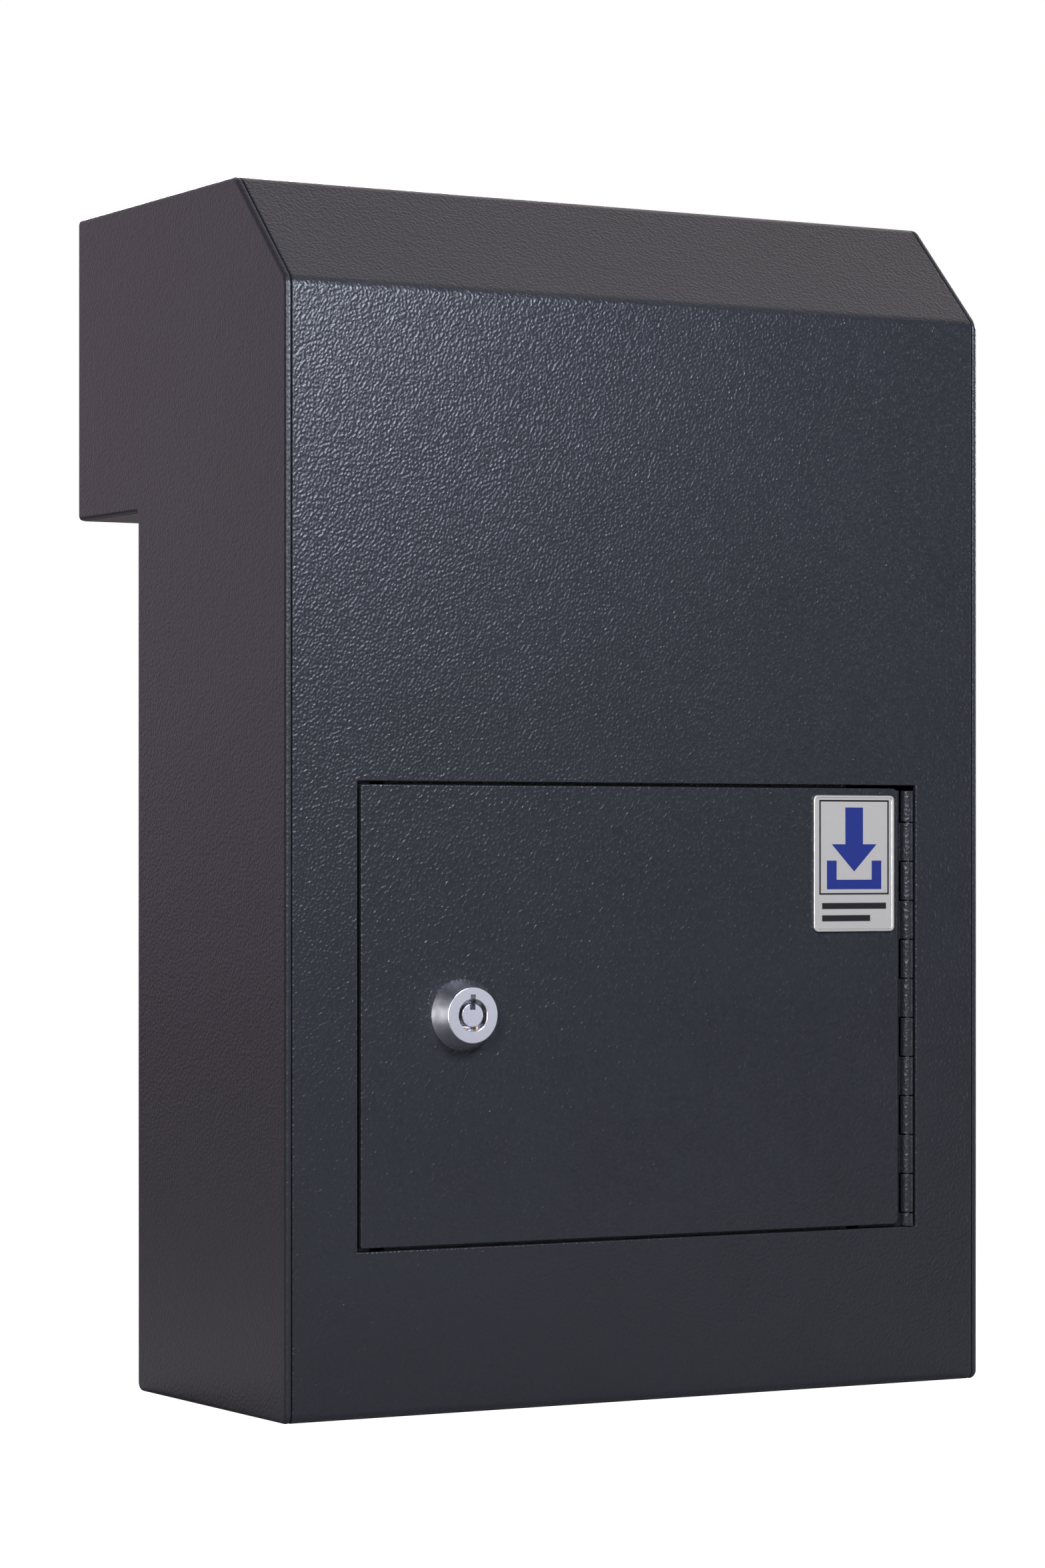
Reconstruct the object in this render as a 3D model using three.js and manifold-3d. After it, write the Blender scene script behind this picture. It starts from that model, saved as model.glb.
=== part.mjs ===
// Parcel drop box: a welded sheet-steel deposit box with a sloped shoulder, a hinged
// collection door with a tubular cam lock, and an intake chute that stands out behind.
// Millimetres. +X right, +Y from the front face into the box, +Z up.
// Sub-parts are laid out with x = 0 on the centre plane, y = 0 on the front face and
// z = 0 under the box; the finished group is then moved to its reference point, which is
// the centre of the footprint at floor level.

import * as THREE from 'three';
import { mergeVertices } from 'three/addons/utils/BufferGeometryUtils.js';
import Module from 'manifold-3d';

const wasm = await Module();
wasm.setup();

// ---------------------------------------------------------------- driving dimensions

// Outer box
const WIDTH = 254;
const HEIGHT = 381;
const LOWER_DEPTH = 106;
const UPPER_DEPTH = 152.4;
const CHUTE_UNDERSIDE = 282;
const SLOPE = 35;
const SHEET = 2;
const SEAM = 0.3;
const FRONT_FOLD_R = 5.5;
const BOTTOM_FOLD_R = 3;
const REAR_CORNER_R = 1.7;
const FOOT_CORNER_R = 2.7;
const INNER_CORNER_R = 1;

// Collection door and its opening
const OPENING_WIDTH = 205;
const OPENING_HEIGHT = 143.5;
const OPENING_BOTTOM = 51;
const DOOR_RECESS = 0.2;
const DOOR_GAP_LEFT = 1.2;
const DOOR_GAP_ENDS = 1;
const DOOR_GAP_HINGE = 6.8;
const DOOR_EDGE_R = 1.2;
const DOOR_CORNER_R = 2;

// Continuous hinge
const KNUCKLE_R = 2.1;
const KNUCKLE_BORE_R = 1;
const HINGE_PIN_R = 0.75;
const KNUCKLE_PITCH = 12.7;
const KNUCKLE_GAP = 0.3;
const TOP_KNUCKLE = 10.4;
const FULL_KNUCKLES = 10;
const BOTTOM_KNUCKLE = 4.5;
const HINGE_TOP_GAP = 1.6;
const HINGE_SIDE_GAP = 0.4;
const LEAF_THICKNESS = 1.2;
const LEAF_WIDTH = 16;
const LEAF_CLEARANCE = 0.3;

// Door stops behind the edges of the opening
const STOP_THICKNESS = 1.5;
const STOP_LAP = 5;
const STOP_WELD_WIDTH = 16;
const STOP_CLEARANCE = 0.3;

// Cam lock
const LOCK_FROM_OPENING_EDGE = 36.5;
const BARREL_R = 9.5;
const BARREL_FLAT_DEPTH = 1.3;
const BARREL_LENGTH = 14.4;
const BEZEL_OVERHANG = 1.6;
const BEZEL_RIM = 0.3;
const BEZEL_FACE_R = 8.6;
const BEZEL_HEIGHT = 6.7;
const GROOVE_R = 4.95;
const GROOVE_DEPTH = 6;
const POST_R = 3.7;
const POST_RECESS = 0.3;
const FACE_NOTCH = 1.75;
const FACE_NOTCH_REACH = 1.45;
const POST_NOTCH = 1.9;
const POST_NOTCH_REACH = 2;
const ROTOR_R = 6.8;
const ROTOR_CLEARANCE = 0.3;
const PIN_COUNT = 7;
const PIN_R = 0.45;
const PIN_HOLE_R = 0.6;
const PIN_HOLE_DEPTH = 4;
const PIN_STANDOUT = 1.5;
const SPINDLE_SIDE = 8;
const STUD_R = 3;
const NUT_WALL = 1.5;
const NUT_THICKNESS = 3.5;
const SPUR_WASHER_RIM = 2.9;
const SPUR_WASHER_THICKNESS = 0.8;
const SPUR_TEETH = 16;
const SPUR_DEPTH = 1;
const STOP_WASHER_THICKNESS = 1.2;
const STOP_LUG_INSET = 0.6;
const STOP_LUG_HEIGHT = 1.3;
const STOP_LUG_HALF_ANGLE = 28;
const CAM_TURN = 90;
const CAM_THICKNESS = 2.5;
const CAM_HUB_R = 9;
const STOP_CUTOUT_MARGIN = 3;
const CAM_WIDTH = 14;
const CAM_REACH = 45;
const CAM_WASHER_R = 6.5;
const CAM_WASHER_THICKNESS = 1;
const CAM_NUT_FLATS = 10;
const CAM_NUT_THICKNESS = 4;
const STUD_STANDOUT = 1.5;
const PART_GAP = 0.3;
const WELD_GAP = 0.1;

// Name plate on the door
const PLATE_WIDTH = 30.9;
const PLATE_HEIGHT = 44;
const PLATE_THICKNESS = 0.8;
const PLATE_CORNER_R = 1.5;
const PLATE_FROM_TOP = 2.3;
const PLATE_FROM_HINGE_SIDE = 2.1;

// Wall fixing holes in the back panel
const FIXING_R = 3.5;
const FIXING_SPACING_X = 180;
const FIXING_LOW_Z = 60;
const FIXING_SPACING_Z = 170;

// Intake slot and its gravity flap
const SLOT_WIDTH = 203;
const SLOT_HEIGHT = 50;
const SLOT_CORNER_R = 4;
const SLOT_ABOVE_FLOOR = 18;
const FLAP_ROD_R = 2.5;
const FLAP_ROD_BELOW_TOP = 9;
const FLAP_ROD_FROM_PLATE = 5.5;
const FLAP_CURL_BORE_R = 2.8;
const FLAP_CURL_R = 4;
const FLAP_THICKNESS = 1.2;
const FLAP_SIDE_LAP = 4;
const FLAP_LOWER_LAP = 6;
const BRACKET_GAP = 1.5;
const BRACKET_DEPTH = 11;
const BRACKET_BELOW_ROD = 7;
const BRACKET_FLANGE = 9;
const ROD_HOLE_R = 2.8;
const ROD_STANDOUT = 3;
const CLIP_R = 4.6;
const CLIP_THICKNESS = 0.8;
const CLIP_GROOVE_R = 1.9;
const CLIP_BORE_R = 2.1;
const CLIP_MOUTH = 3;

// Baffle that keeps a hand or hook from reaching down through the intake
const BAFFLE_THICKNESS = 1.5;
const BAFFLE_TOP_BELOW_FLOOR = 12;
const BAFFLE_FRONT_SPACE = 42;
const BAFFLE_ANGLE = 30;
const BAFFLE_FLANGE = 14;
const BAFFLE_SIDE_GAP = 0.5;
const BAFFLE_TEETH = 14;
const BAFFLE_TOOTH_DEPTH = 7;

// ------------------------------------------------------------------- derived places

const INNER_HALF_WIDTH = WIDTH / 2 - SHEET - SEAM;
const OPENING_LEFT = -OPENING_WIDTH / 2;
const OPENING_RIGHT = OPENING_WIDTH / 2;
const OPENING_TOP = OPENING_BOTTOM + OPENING_HEIGHT;

const DOOR_LEFT = OPENING_LEFT + DOOR_GAP_LEFT;
const DOOR_RIGHT = OPENING_RIGHT - DOOR_GAP_HINGE;
const DOOR_BOTTOM = OPENING_BOTTOM + DOOR_GAP_ENDS;
const DOOR_TOP = OPENING_TOP - DOOR_GAP_ENDS;
const DOOR_FRONT = DOOR_RECESS;
const DOOR_BACK = DOOR_FRONT + SHEET;

const LEAF_FRONT = DOOR_BACK + LEAF_CLEARANCE;
const LEAF_BACK = LEAF_FRONT + LEAF_THICKNESS;
const HINGE_X = OPENING_RIGHT - HINGE_SIDE_GAP - KNUCKLE_R;
const HINGE_Y = LEAF_BACK - KNUCKLE_R;
const HINGE_TOP = OPENING_TOP - HINGE_TOP_GAP;
const HINGE_BOTTOM = HINGE_TOP - TOP_KNUCKLE - FULL_KNUCKLES * KNUCKLE_PITCH - BOTTOM_KNUCKLE;

const LOCK_X = OPENING_LEFT + LOCK_FROM_OPENING_EDGE;
const LOCK_Z = (OPENING_BOTTOM + OPENING_TOP) / 2;
const BARREL_FLAT = BARREL_R - BARREL_FLAT_DEPTH;
const ROTOR_BORE_R = ROTOR_R + ROTOR_CLEARANCE;
const STOP_WASHER_R = BARREL_R - PART_GAP;
const STOP_LUG_INNER_R = ROTOR_BORE_R + STOP_LUG_INSET;
const BEZEL_R = BARREL_R + BEZEL_OVERHANG;
const BEZEL_BACK = DOOR_FRONT - WELD_GAP;
const BEZEL_FRONT = BEZEL_BACK - BEZEL_HEIGHT;
const BARREL_END = BEZEL_BACK + BARREL_LENGTH;
const GROOVE_FLOOR = BEZEL_FRONT + GROOVE_DEPTH;
const ROTOR_FRONT = GROOVE_FLOOR + ROTOR_CLEARANCE;
const ROTOR_END = BARREL_END + PART_GAP;
const STOP_WASHER_FRONT = ROTOR_END + PART_GAP;
const CAM_FRONT = STOP_WASHER_FRONT + STOP_WASHER_THICKNESS + PART_GAP;
const CAM_BACK = CAM_FRONT + CAM_THICKNESS;
const CAM_WASHER_FRONT = CAM_BACK + PART_GAP;
const CAM_NUT_FRONT = CAM_WASHER_FRONT + CAM_WASHER_THICKNESS + PART_GAP;
const STUD_END = CAM_NUT_FRONT + CAM_NUT_THICKNESS + STUD_STANDOUT;

const STOP_FRONT = DOOR_BACK + STOP_CLEARANCE;
const STOP_BACK = STOP_FRONT + STOP_THICKNESS;
const STOP_LEFT = OPENING_LEFT + STOP_LAP + STOP_CLEARANCE;
const STOP_RIGHT = HINGE_X - KNUCKLE_R - LEAF_WIDTH - STOP_LAP;

const INTAKE_PLATE_FRONT = UPPER_DEPTH - SHEET;
const CHUTE_FLOOR_TOP = CHUTE_UNDERSIDE + SHEET;
const SLOT_BOTTOM = CHUTE_FLOOR_TOP + SLOT_ABOVE_FLOOR;
const ROOF_UNDERSIDE = HEIGHT - SHEET;
const ROD_Y = INTAKE_PLATE_FRONT - FLAP_ROD_FROM_PLATE;
const ROD_Z = ROOF_UNDERSIDE - FLAP_ROD_BELOW_TOP;
const FLAP_HALF_WIDTH = SLOT_WIDTH / 2 + FLAP_SIDE_LAP;
const BRACKET_INNER = FLAP_HALF_WIDTH + BRACKET_GAP;
const BRACKET_OUTER = BRACKET_INNER + SHEET;
const CLIP_INNER = BRACKET_OUTER + PART_GAP;

const BACK_PANEL_FRONT = LOWER_DEPTH - SHEET;

// The footprint's centre, between the lock's face and the back of the chute.
const CENTRE_Y = (UPPER_DEPTH + BEZEL_FRONT) / 2;

// ------------------------------------------------------------------------ materials

function paint(color, roughness) {
  return new THREE.MeshStandardMaterial({ color, roughness, metalness: 0.2 });
}

function metal(color, roughness) {
  return new THREE.MeshStandardMaterial({ color, roughness, metalness: 1 });
}

const charcoalPaint = paint(0x44454f, 0.45);
const chrome = metal(0xc9c9d2, 0.15);
const satinFace = metal(0xb5b4c2, 0.35);
const zinc = metal(0xb8bcc0, 0.4);
const brass = metal(0xb08d3c, 0.3);
const bareSteel = metal(0x8f9298, 0.35);
const plateSilver = metal(0xb9b3a8, 0.45);

// ------------------------------------------------------------------- solid modelling

// Turns a closed three.js geometry into a solid that can be cut and joined.
function solid(geometry) {
  const bare = geometry.clone();
  bare.deleteAttribute('normal');
  bare.deleteAttribute('uv');
  const merged = mergeVertices(bare, 1e-4);
  const corners = merged.index.array;
  const triangles = [];
  for (let i = 0; i < corners.length; i += 3) {
    const [a, b, c] = [corners[i], corners[i + 1], corners[i + 2]];
    if (a !== b && b !== c && c !== a) {
      triangles.push(a, b, c);
    }
  }
  return new wasm.Manifold(new wasm.Mesh({
    numProp: 3,
    vertProperties: new Float32Array(merged.attributes.position.array),
    triVerts: new Uint32Array(triangles),
  }));
}

// Makes a named mesh from a solid.
function piece(name, body, material) {
  const { vertProperties, triVerts } = body.getMesh();
  const geometry = new THREE.BufferGeometry();
  geometry.setAttribute('position', new THREE.BufferAttribute(vertProperties, 3));
  geometry.setIndex(new THREE.BufferAttribute(triVerts, 1));
  geometry.computeVertexNormals();
  const mesh = new THREE.Mesh(geometry, material);
  mesh.name = name;
  return mesh;
}

function box([x0, x1], [y0, y1], [z0, z1]) {
  const geometry = new THREE.BoxGeometry(x1 - x0, y1 - y0, z1 - z0);
  geometry.translate((x0 + x1) / 2, (y0 + y1) / 2, (z0 + z1) / 2);
  return solid(geometry);
}

const ALONG_X = [new THREE.Vector3(0, 1, 0), new THREE.Vector3(0, 0, 1), new THREE.Vector3(1, 0, 0)];
const ALONG_Y = [new THREE.Vector3(0, 0, 1), new THREE.Vector3(1, 0, 0), new THREE.Vector3(0, 1, 0)];
const ALONG_Z = [new THREE.Vector3(1, 0, 0), new THREE.Vector3(0, 1, 0), new THREE.Vector3(0, 0, 1)];

// Extrudes an outline from one place to another along an axis. The outline's two
// coordinates are (y, z) along X, (z, x) along Y and (x, y) along Z.
function extrude(outline, axes, from, to) {
  const shape = outline instanceof THREE.Shape ? outline : new THREE.Shape(outline);
  const geometry = new THREE.ExtrudeGeometry(shape, {
    depth: to - from,
    bevelEnabled: false,
    curveSegments: 8,
  });
  geometry.translate(0, 0, from);
  geometry.applyMatrix4(new THREE.Matrix4().makeBasis(...axes));
  return solid(geometry);
}

// A turned piece about an axis through a point. The profile lists (radius, place along
// the axis) anticlockwise, so it closes on itself or starts and ends on the axis.
function turned(profile, segments, axes, centre) {
  const points = profile.map(([radius, place]) => new THREE.Vector2(radius, place));
  const geometry = new THREE.LatheGeometry(points, segments);
  geometry.applyMatrix4(new THREE.Matrix4().makeBasis(axes[1], axes[2], axes[0]));
  geometry.translate(...centre);
  return solid(geometry);
}

function disc(radius, [from, to], segments, axes, centre) {
  return turned([[0, from], [radius, from], [radius, to], [0, to]], segments, axes, centre);
}

function ring(inner, outer, [from, to], segments, axes, centre) {
  const profile = [[inner, from], [outer, from], [outer, to], [inner, to], [inner, from]];
  return turned(profile, segments, axes, centre);
}

// An outline whose corners [u, v, radius] are rounded by arcs; `closed` says whether
// its first and last corners are corners too.
function rounded(corners, closed = true) {
  const points = [];
  corners.forEach(([u, v, radius = 0], i) => {
    const corner = new THREE.Vector2(u, v);
    const isEnd = !closed && (i === 0 || i === corners.length - 1);
    if (radius <= 0 || isEnd) {
      points.push(corner);
      return;
    }
    const before = corners[(i + corners.length - 1) % corners.length];
    const after = corners[(i + 1) % corners.length];
    const back = new THREE.Vector2(before[0], before[1]).sub(corner).normalize();
    const onward = new THREE.Vector2(after[0], after[1]).sub(corner).normalize();
    const halfAngle = Math.acos(back.dot(onward)) / 2;
    const centre = back.clone().add(onward).normalize()
      .multiplyScalar(radius / Math.sin(halfAngle)).add(corner);
    const start = back.clone().multiplyScalar(radius / Math.tan(halfAngle)).add(corner).sub(centre);
    const turn = (Math.PI - 2 * halfAngle) * Math.sign(onward.cross(back));
    const steps = Math.max(2, Math.round(Math.abs(turn) / (Math.PI / 10)));
    for (let k = 0; k <= steps; k += 1) {
      const spoke = start.clone().rotateAround(new THREE.Vector2(), turn * k / steps);
      points.push(spoke.add(centre));
    }
  });
  return points;
}

// The section of a folded sheet: corners [u, v, outer radius] along its outer face, the
// thickness lying to the right of the direction of travel.
function foldedSection(corners, thickness) {
  const inner = corners.map(([u, v, radius = 0], i) => {
    const here = new THREE.Vector2(u, v);
    const directions = [];
    if (i > 0) {
      directions.push(here.clone().sub(new THREE.Vector2(corners[i - 1][0], corners[i - 1][1])));
    }
    if (i < corners.length - 1) {
      directions.push(new THREE.Vector2(corners[i + 1][0], corners[i + 1][1]).sub(here));
    }
    const normals = directions.map((d) => new THREE.Vector2(d.y, -d.x).normalize());
    const sum = normals.reduce((a, b) => a.clone().add(b), new THREE.Vector2());
    const offset = sum.multiplyScalar(thickness * normals.length / sum.lengthSq());
    return [u + offset.x, v + offset.y, Math.max(radius - thickness, 0)];
  });
  return [...rounded(corners, false), ...rounded(inner, false).reverse()];
}

// The same section with its thickness on the left.
function foldedSectionLeft(corners, thickness) {
  return foldedSection([...corners].reverse(), thickness);
}

function hexagon(acrossFlats, centreU, centreV) {
  const radius = acrossFlats / Math.sqrt(3);
  return Array.from({ length: 6 }, (_, i) => {
    const angle = i * Math.PI / 3;
    return new THREE.Vector2(centreU + radius * Math.cos(angle), centreV + radius * Math.sin(angle));
  });
}

// A circle's sector between two radii, around a centre, from one angle to another in
// degrees, measured from the outline's first coordinate towards its second.
function sector(inner, outer, fromDegrees, toDegrees, centreU, centreV) {
  const steps = Math.ceil((toDegrees - fromDegrees) / 12);
  const arc = (radius) => Array.from({ length: steps + 1 }, (_, i) => {
    const angle = THREE.MathUtils.degToRad(fromDegrees + (toDegrees - fromDegrees) * i / steps);
    return new THREE.Vector2(centreU + radius * Math.cos(angle), centreV + radius * Math.sin(angle));
  });
  return [...arc(outer), ...arc(inner).reverse()];
}

// ------------------------------------------------------------------------ the casing

// The side plates carry the box's outline and lie outside everything else.
function sidePanel(name, side) {
  const outline = rounded([
    [0, 0, BOTTOM_FOLD_R],
    [LOWER_DEPTH, 0, FOOT_CORNER_R],
    [LOWER_DEPTH, CHUTE_UNDERSIDE, INNER_CORNER_R],
    [UPPER_DEPTH, CHUTE_UNDERSIDE, REAR_CORNER_R],
    [UPPER_DEPTH, HEIGHT, REAR_CORNER_R],
    [SLOPE, HEIGHT, FRONT_FOLD_R],
    [0, HEIGHT - SLOPE, FRONT_FOLD_R],
  ]);
  const faces = [side * (WIDTH / 2 - SHEET), side * WIDTH / 2].sort((a, b) => a - b);
  return piece(name, extrude(outline, ALONG_X, ...faces), charcoalPaint);
}

// One folded sheet makes the bottom, the front, the sloped shoulder and the top.
function bodyWrap() {
  const section = foldedSection([
    [LOWER_DEPTH, 0],
    [0, 0, BOTTOM_FOLD_R],
    [0, HEIGHT - SLOPE, FRONT_FOLD_R],
    [SLOPE, HEIGHT, FRONT_FOLD_R],
    [UPPER_DEPTH, HEIGHT],
  ], SHEET);
  const sheet = extrude(section, ALONG_X, -INNER_HALF_WIDTH, INNER_HALF_WIDTH);
  const opening = box([OPENING_LEFT, OPENING_RIGHT], [-SHEET, 2 * SHEET], [OPENING_BOTTOM, OPENING_TOP]);
  return piece('body_wrap', sheet.subtract(opening), charcoalPaint);
}

// The back panel lies against the wall and takes the fixing screws.
function backPanel() {
  let panel = box(
    [-INNER_HALF_WIDTH, INNER_HALF_WIDTH],
    [BACK_PANEL_FRONT, LOWER_DEPTH],
    [SHEET + WELD_GAP, CHUTE_UNDERSIDE - WELD_GAP],
  );
  for (const side of [-1, 1]) {
    for (const row of [0, 1]) {
      const centre = [side * FIXING_SPACING_X / 2, 0, FIXING_LOW_Z + row * FIXING_SPACING_Z];
      const span = [BACK_PANEL_FRONT - SHEET, LOWER_DEPTH + SHEET];
      panel = panel.subtract(disc(FIXING_R, span, 20, ALONG_Y, centre));
    }
  }
  return piece('back_panel', panel, charcoalPaint);
}

function chuteFloor() {
  const plate = box(
    [-INNER_HALF_WIDTH, INNER_HALF_WIDTH],
    [BACK_PANEL_FRONT, UPPER_DEPTH],
    [CHUTE_UNDERSIDE, CHUTE_FLOOR_TOP],
  );
  return piece('chute_floor', plate, charcoalPaint);
}

// The chute's rear plate, with the slot that letters and small parcels come in by.
function intakePlate() {
  const plate = box(
    [-INNER_HALF_WIDTH, INNER_HALF_WIDTH],
    [INTAKE_PLATE_FRONT, UPPER_DEPTH],
    [CHUTE_FLOOR_TOP + WELD_GAP, ROOF_UNDERSIDE - WELD_GAP],
  );
  const slot = rounded([
    [SLOT_BOTTOM, -SLOT_WIDTH / 2, SLOT_CORNER_R],
    [SLOT_BOTTOM + SLOT_HEIGHT, -SLOT_WIDTH / 2, SLOT_CORNER_R],
    [SLOT_BOTTOM + SLOT_HEIGHT, SLOT_WIDTH / 2, SLOT_CORNER_R],
    [SLOT_BOTTOM, SLOT_WIDTH / 2, SLOT_CORNER_R],
  ]);
  const cutter = extrude(slot, ALONG_Y, INTAKE_PLATE_FRONT - SHEET, UPPER_DEPTH + SHEET);
  return piece('intake_plate', plate.subtract(cutter), charcoalPaint);
}

// A sloping shelf, welded to the back panel, with a saw-toothed front edge.
function baffle() {
  const angle = THREE.MathUtils.degToRad(BAFFLE_ANGLE);
  const rear = BACK_PANEL_FRONT - WELD_GAP;
  const top = CHUTE_UNDERSIDE - BAFFLE_TOP_BELOW_FLOOR;
  const drop = (rear - BAFFLE_FRONT_SPACE) * Math.tan(angle);
  const section = foldedSectionLeft([
    [rear, top - BAFFLE_FLANGE],
    [rear, top],
    [BAFFLE_FRONT_SPACE, top - drop],
  ], BAFFLE_THICKNESS);
  const halfWidth = WIDTH / 2 - SHEET - BAFFLE_SIDE_GAP;
  let shelf = extrude(section, ALONG_X, -halfWidth, halfWidth);
  const pitch = 2 * halfWidth / BAFFLE_TEETH;
  const front = BAFFLE_FRONT_SPACE - BAFFLE_THICKNESS;
  for (let i = 0; i <= BAFFLE_TEETH; i += 1) {
    const x = -halfWidth + i * pitch;
    const notch = [
      new THREE.Vector2(x - pitch / 2, front),
      new THREE.Vector2(x + pitch / 2, front),
      new THREE.Vector2(x, BAFFLE_FRONT_SPACE + BAFFLE_TOOTH_DEPTH),
    ];
    shelf = shelf.subtract(extrude(notch, ALONG_Z, top - 2 * drop, top));
  }
  return piece('anti_fish_baffle', shelf, charcoalPaint);
}

// Flat strips behind the top and bottom edges of the opening, for the door to close on.
function doorStop(name, edge, inward) {
  const ends = [edge + inward * STOP_LAP, edge - inward * STOP_WELD_WIDTH].sort((a, b) => a - b);
  const strip = box([STOP_LEFT + STOP_LAP, STOP_RIGHT], [STOP_FRONT, STOP_BACK], ends);
  return piece(name, strip, charcoalPaint);
}

// The stop beside the lock is an angle: the cam turns in behind its inward leg.
function latchAngle() {
  const heel = STOP_LEFT;
  const section = [
    [heel - STOP_LAP - STOP_WELD_WIDTH, STOP_FRONT],
    [heel, STOP_FRONT],
    [heel, CAM_FRONT - PART_GAP],
    [heel - STOP_THICKNESS, CAM_FRONT - PART_GAP],
    [heel - STOP_THICKNESS, STOP_BACK],
    [heel - STOP_LAP - STOP_WELD_WIDTH, STOP_BACK],
  ].map(([x, y]) => new THREE.Vector2(x, y));
  const angle = extrude(section, ALONG_Z, OPENING_BOTTOM - STOP_WELD_WIDTH, OPENING_TOP + STOP_WELD_WIDTH);
  return piece('latch_angle', angle, charcoalPaint);
}

// -------------------------------------------------------------------------- the door

// The lock's double-D outline in the door plane, as (z, x) points.
function doubleD(radius, flat) {
  const halfArc = Math.asin(flat / radius);
  const steps = 10;
  const arc = (middle) => Array.from({ length: steps + 1 }, (_, i) => {
    const angle = middle - halfArc + 2 * halfArc * i / steps;
    return new THREE.Vector2(LOCK_Z + radius * Math.cos(angle), LOCK_X + radius * Math.sin(angle));
  });
  return [...arc(0), ...arc(Math.PI)];
}

function doorPanel() {
  const section = rounded([
    [DOOR_LEFT, DOOR_FRONT],
    [DOOR_RIGHT, DOOR_FRONT, DOOR_EDGE_R],
    [DOOR_RIGHT, DOOR_BACK],
    [DOOR_LEFT, DOOR_BACK],
  ]);
  const sheet = extrude(section, ALONG_Z, DOOR_BOTTOM, DOOR_TOP);
  const outline = rounded([
    [DOOR_BOTTOM, DOOR_LEFT],
    [DOOR_TOP, DOOR_LEFT],
    [DOOR_TOP, DOOR_RIGHT, DOOR_CORNER_R],
    [DOOR_BOTTOM, DOOR_RIGHT, DOOR_CORNER_R],
  ]);
  const blank = extrude(outline, ALONG_Y, DOOR_FRONT - SHEET, DOOR_BACK + SHEET);
  const lockHole = doubleD(BARREL_R + PART_GAP, BARREL_FLAT + PART_GAP);
  const hole = extrude(lockHole, ALONG_Y, DOOR_FRONT - SHEET, DOOR_BACK + SHEET);
  return piece('door_panel', sheet.intersect(blank).subtract(hole), charcoalPaint);
}

function namePlate() {
  const right = DOOR_RIGHT - PLATE_FROM_HINGE_SIDE;
  const top = DOOR_TOP - PLATE_FROM_TOP;
  const outline = rounded([
    [top - PLATE_HEIGHT, right - PLATE_WIDTH, PLATE_CORNER_R],
    [top, right - PLATE_WIDTH, PLATE_CORNER_R],
    [top, right, PLATE_CORNER_R],
    [top - PLATE_HEIGHT, right, PLATE_CORNER_R],
  ]);
  const back = DOOR_FRONT - WELD_GAP;
  return piece('name_plate', extrude(outline, ALONG_Y, back - PLATE_THICKNESS, back), plateSilver);
}

// ------------------------------------------------------------------------- the hinge

// The hinge's knuckles from the top down, as [top, bottom] heights.
function knuckleSpans() {
  const lengths = [TOP_KNUCKLE, ...Array(FULL_KNUCKLES).fill(KNUCKLE_PITCH), BOTTOM_KNUCKLE];
  let top = HINGE_TOP;
  return lengths.map((length) => {
    const span = [top, top - length];
    top -= length;
    return span;
  });
}

// One leaf: a strip on its side of the pin (-1 the door's, 1 the frame's) and every
// second knuckle, each rolled out of the strip.
function hingeLeaf(name, side, firstKnuckle) {
  const clear = KNUCKLE_R + KNUCKLE_GAP;
  const across = (near, far) => [HINGE_X + side * near, HINGE_X + side * far].sort((a, b) => a - b);
  let leaf = box(across(clear, clear + LEAF_WIDTH), [LEAF_FRONT, LEAF_BACK], [HINGE_BOTTOM, HINGE_TOP]);
  const pin = [HINGE_X, HINGE_Y, 0];
  knuckleSpans().forEach(([top, bottom], i) => {
    if (i % 2 !== firstKnuckle) {
      return;
    }
    const span = [bottom + KNUCKLE_GAP / 2, top - KNUCKLE_GAP / 2];
    const root = box(across(KNUCKLE_BORE_R / 2, clear + KNUCKLE_GAP), [LEAF_FRONT, LEAF_BACK], span);
    const barrel = disc(KNUCKLE_R, span, 20, ALONG_Z, pin);
    const bore = disc(KNUCKLE_BORE_R, [HINGE_BOTTOM - 1, HINGE_TOP + 1], 12, ALONG_Z, pin);
    leaf = leaf.add(root.add(barrel).subtract(bore));
  });
  return piece(name, leaf, bareSteel);
}

function hingePin() {
  const body = disc(HINGE_PIN_R, [HINGE_BOTTOM + 0.5, HINGE_TOP - 0.5], 12, ALONG_Z, [HINGE_X, HINGE_Y, 0]);
  return piece('hinge_pin', body, bareSteel);
}

// -------------------------------------------------------------------------- the lock

const LOCK_AXIS = [LOCK_X, 0, LOCK_Z];

// Clock angles, clockwise from twelve as seen from the front, are the (z, x) outline's
// own angles.
const LUG_CLOCK = 90;

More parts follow.
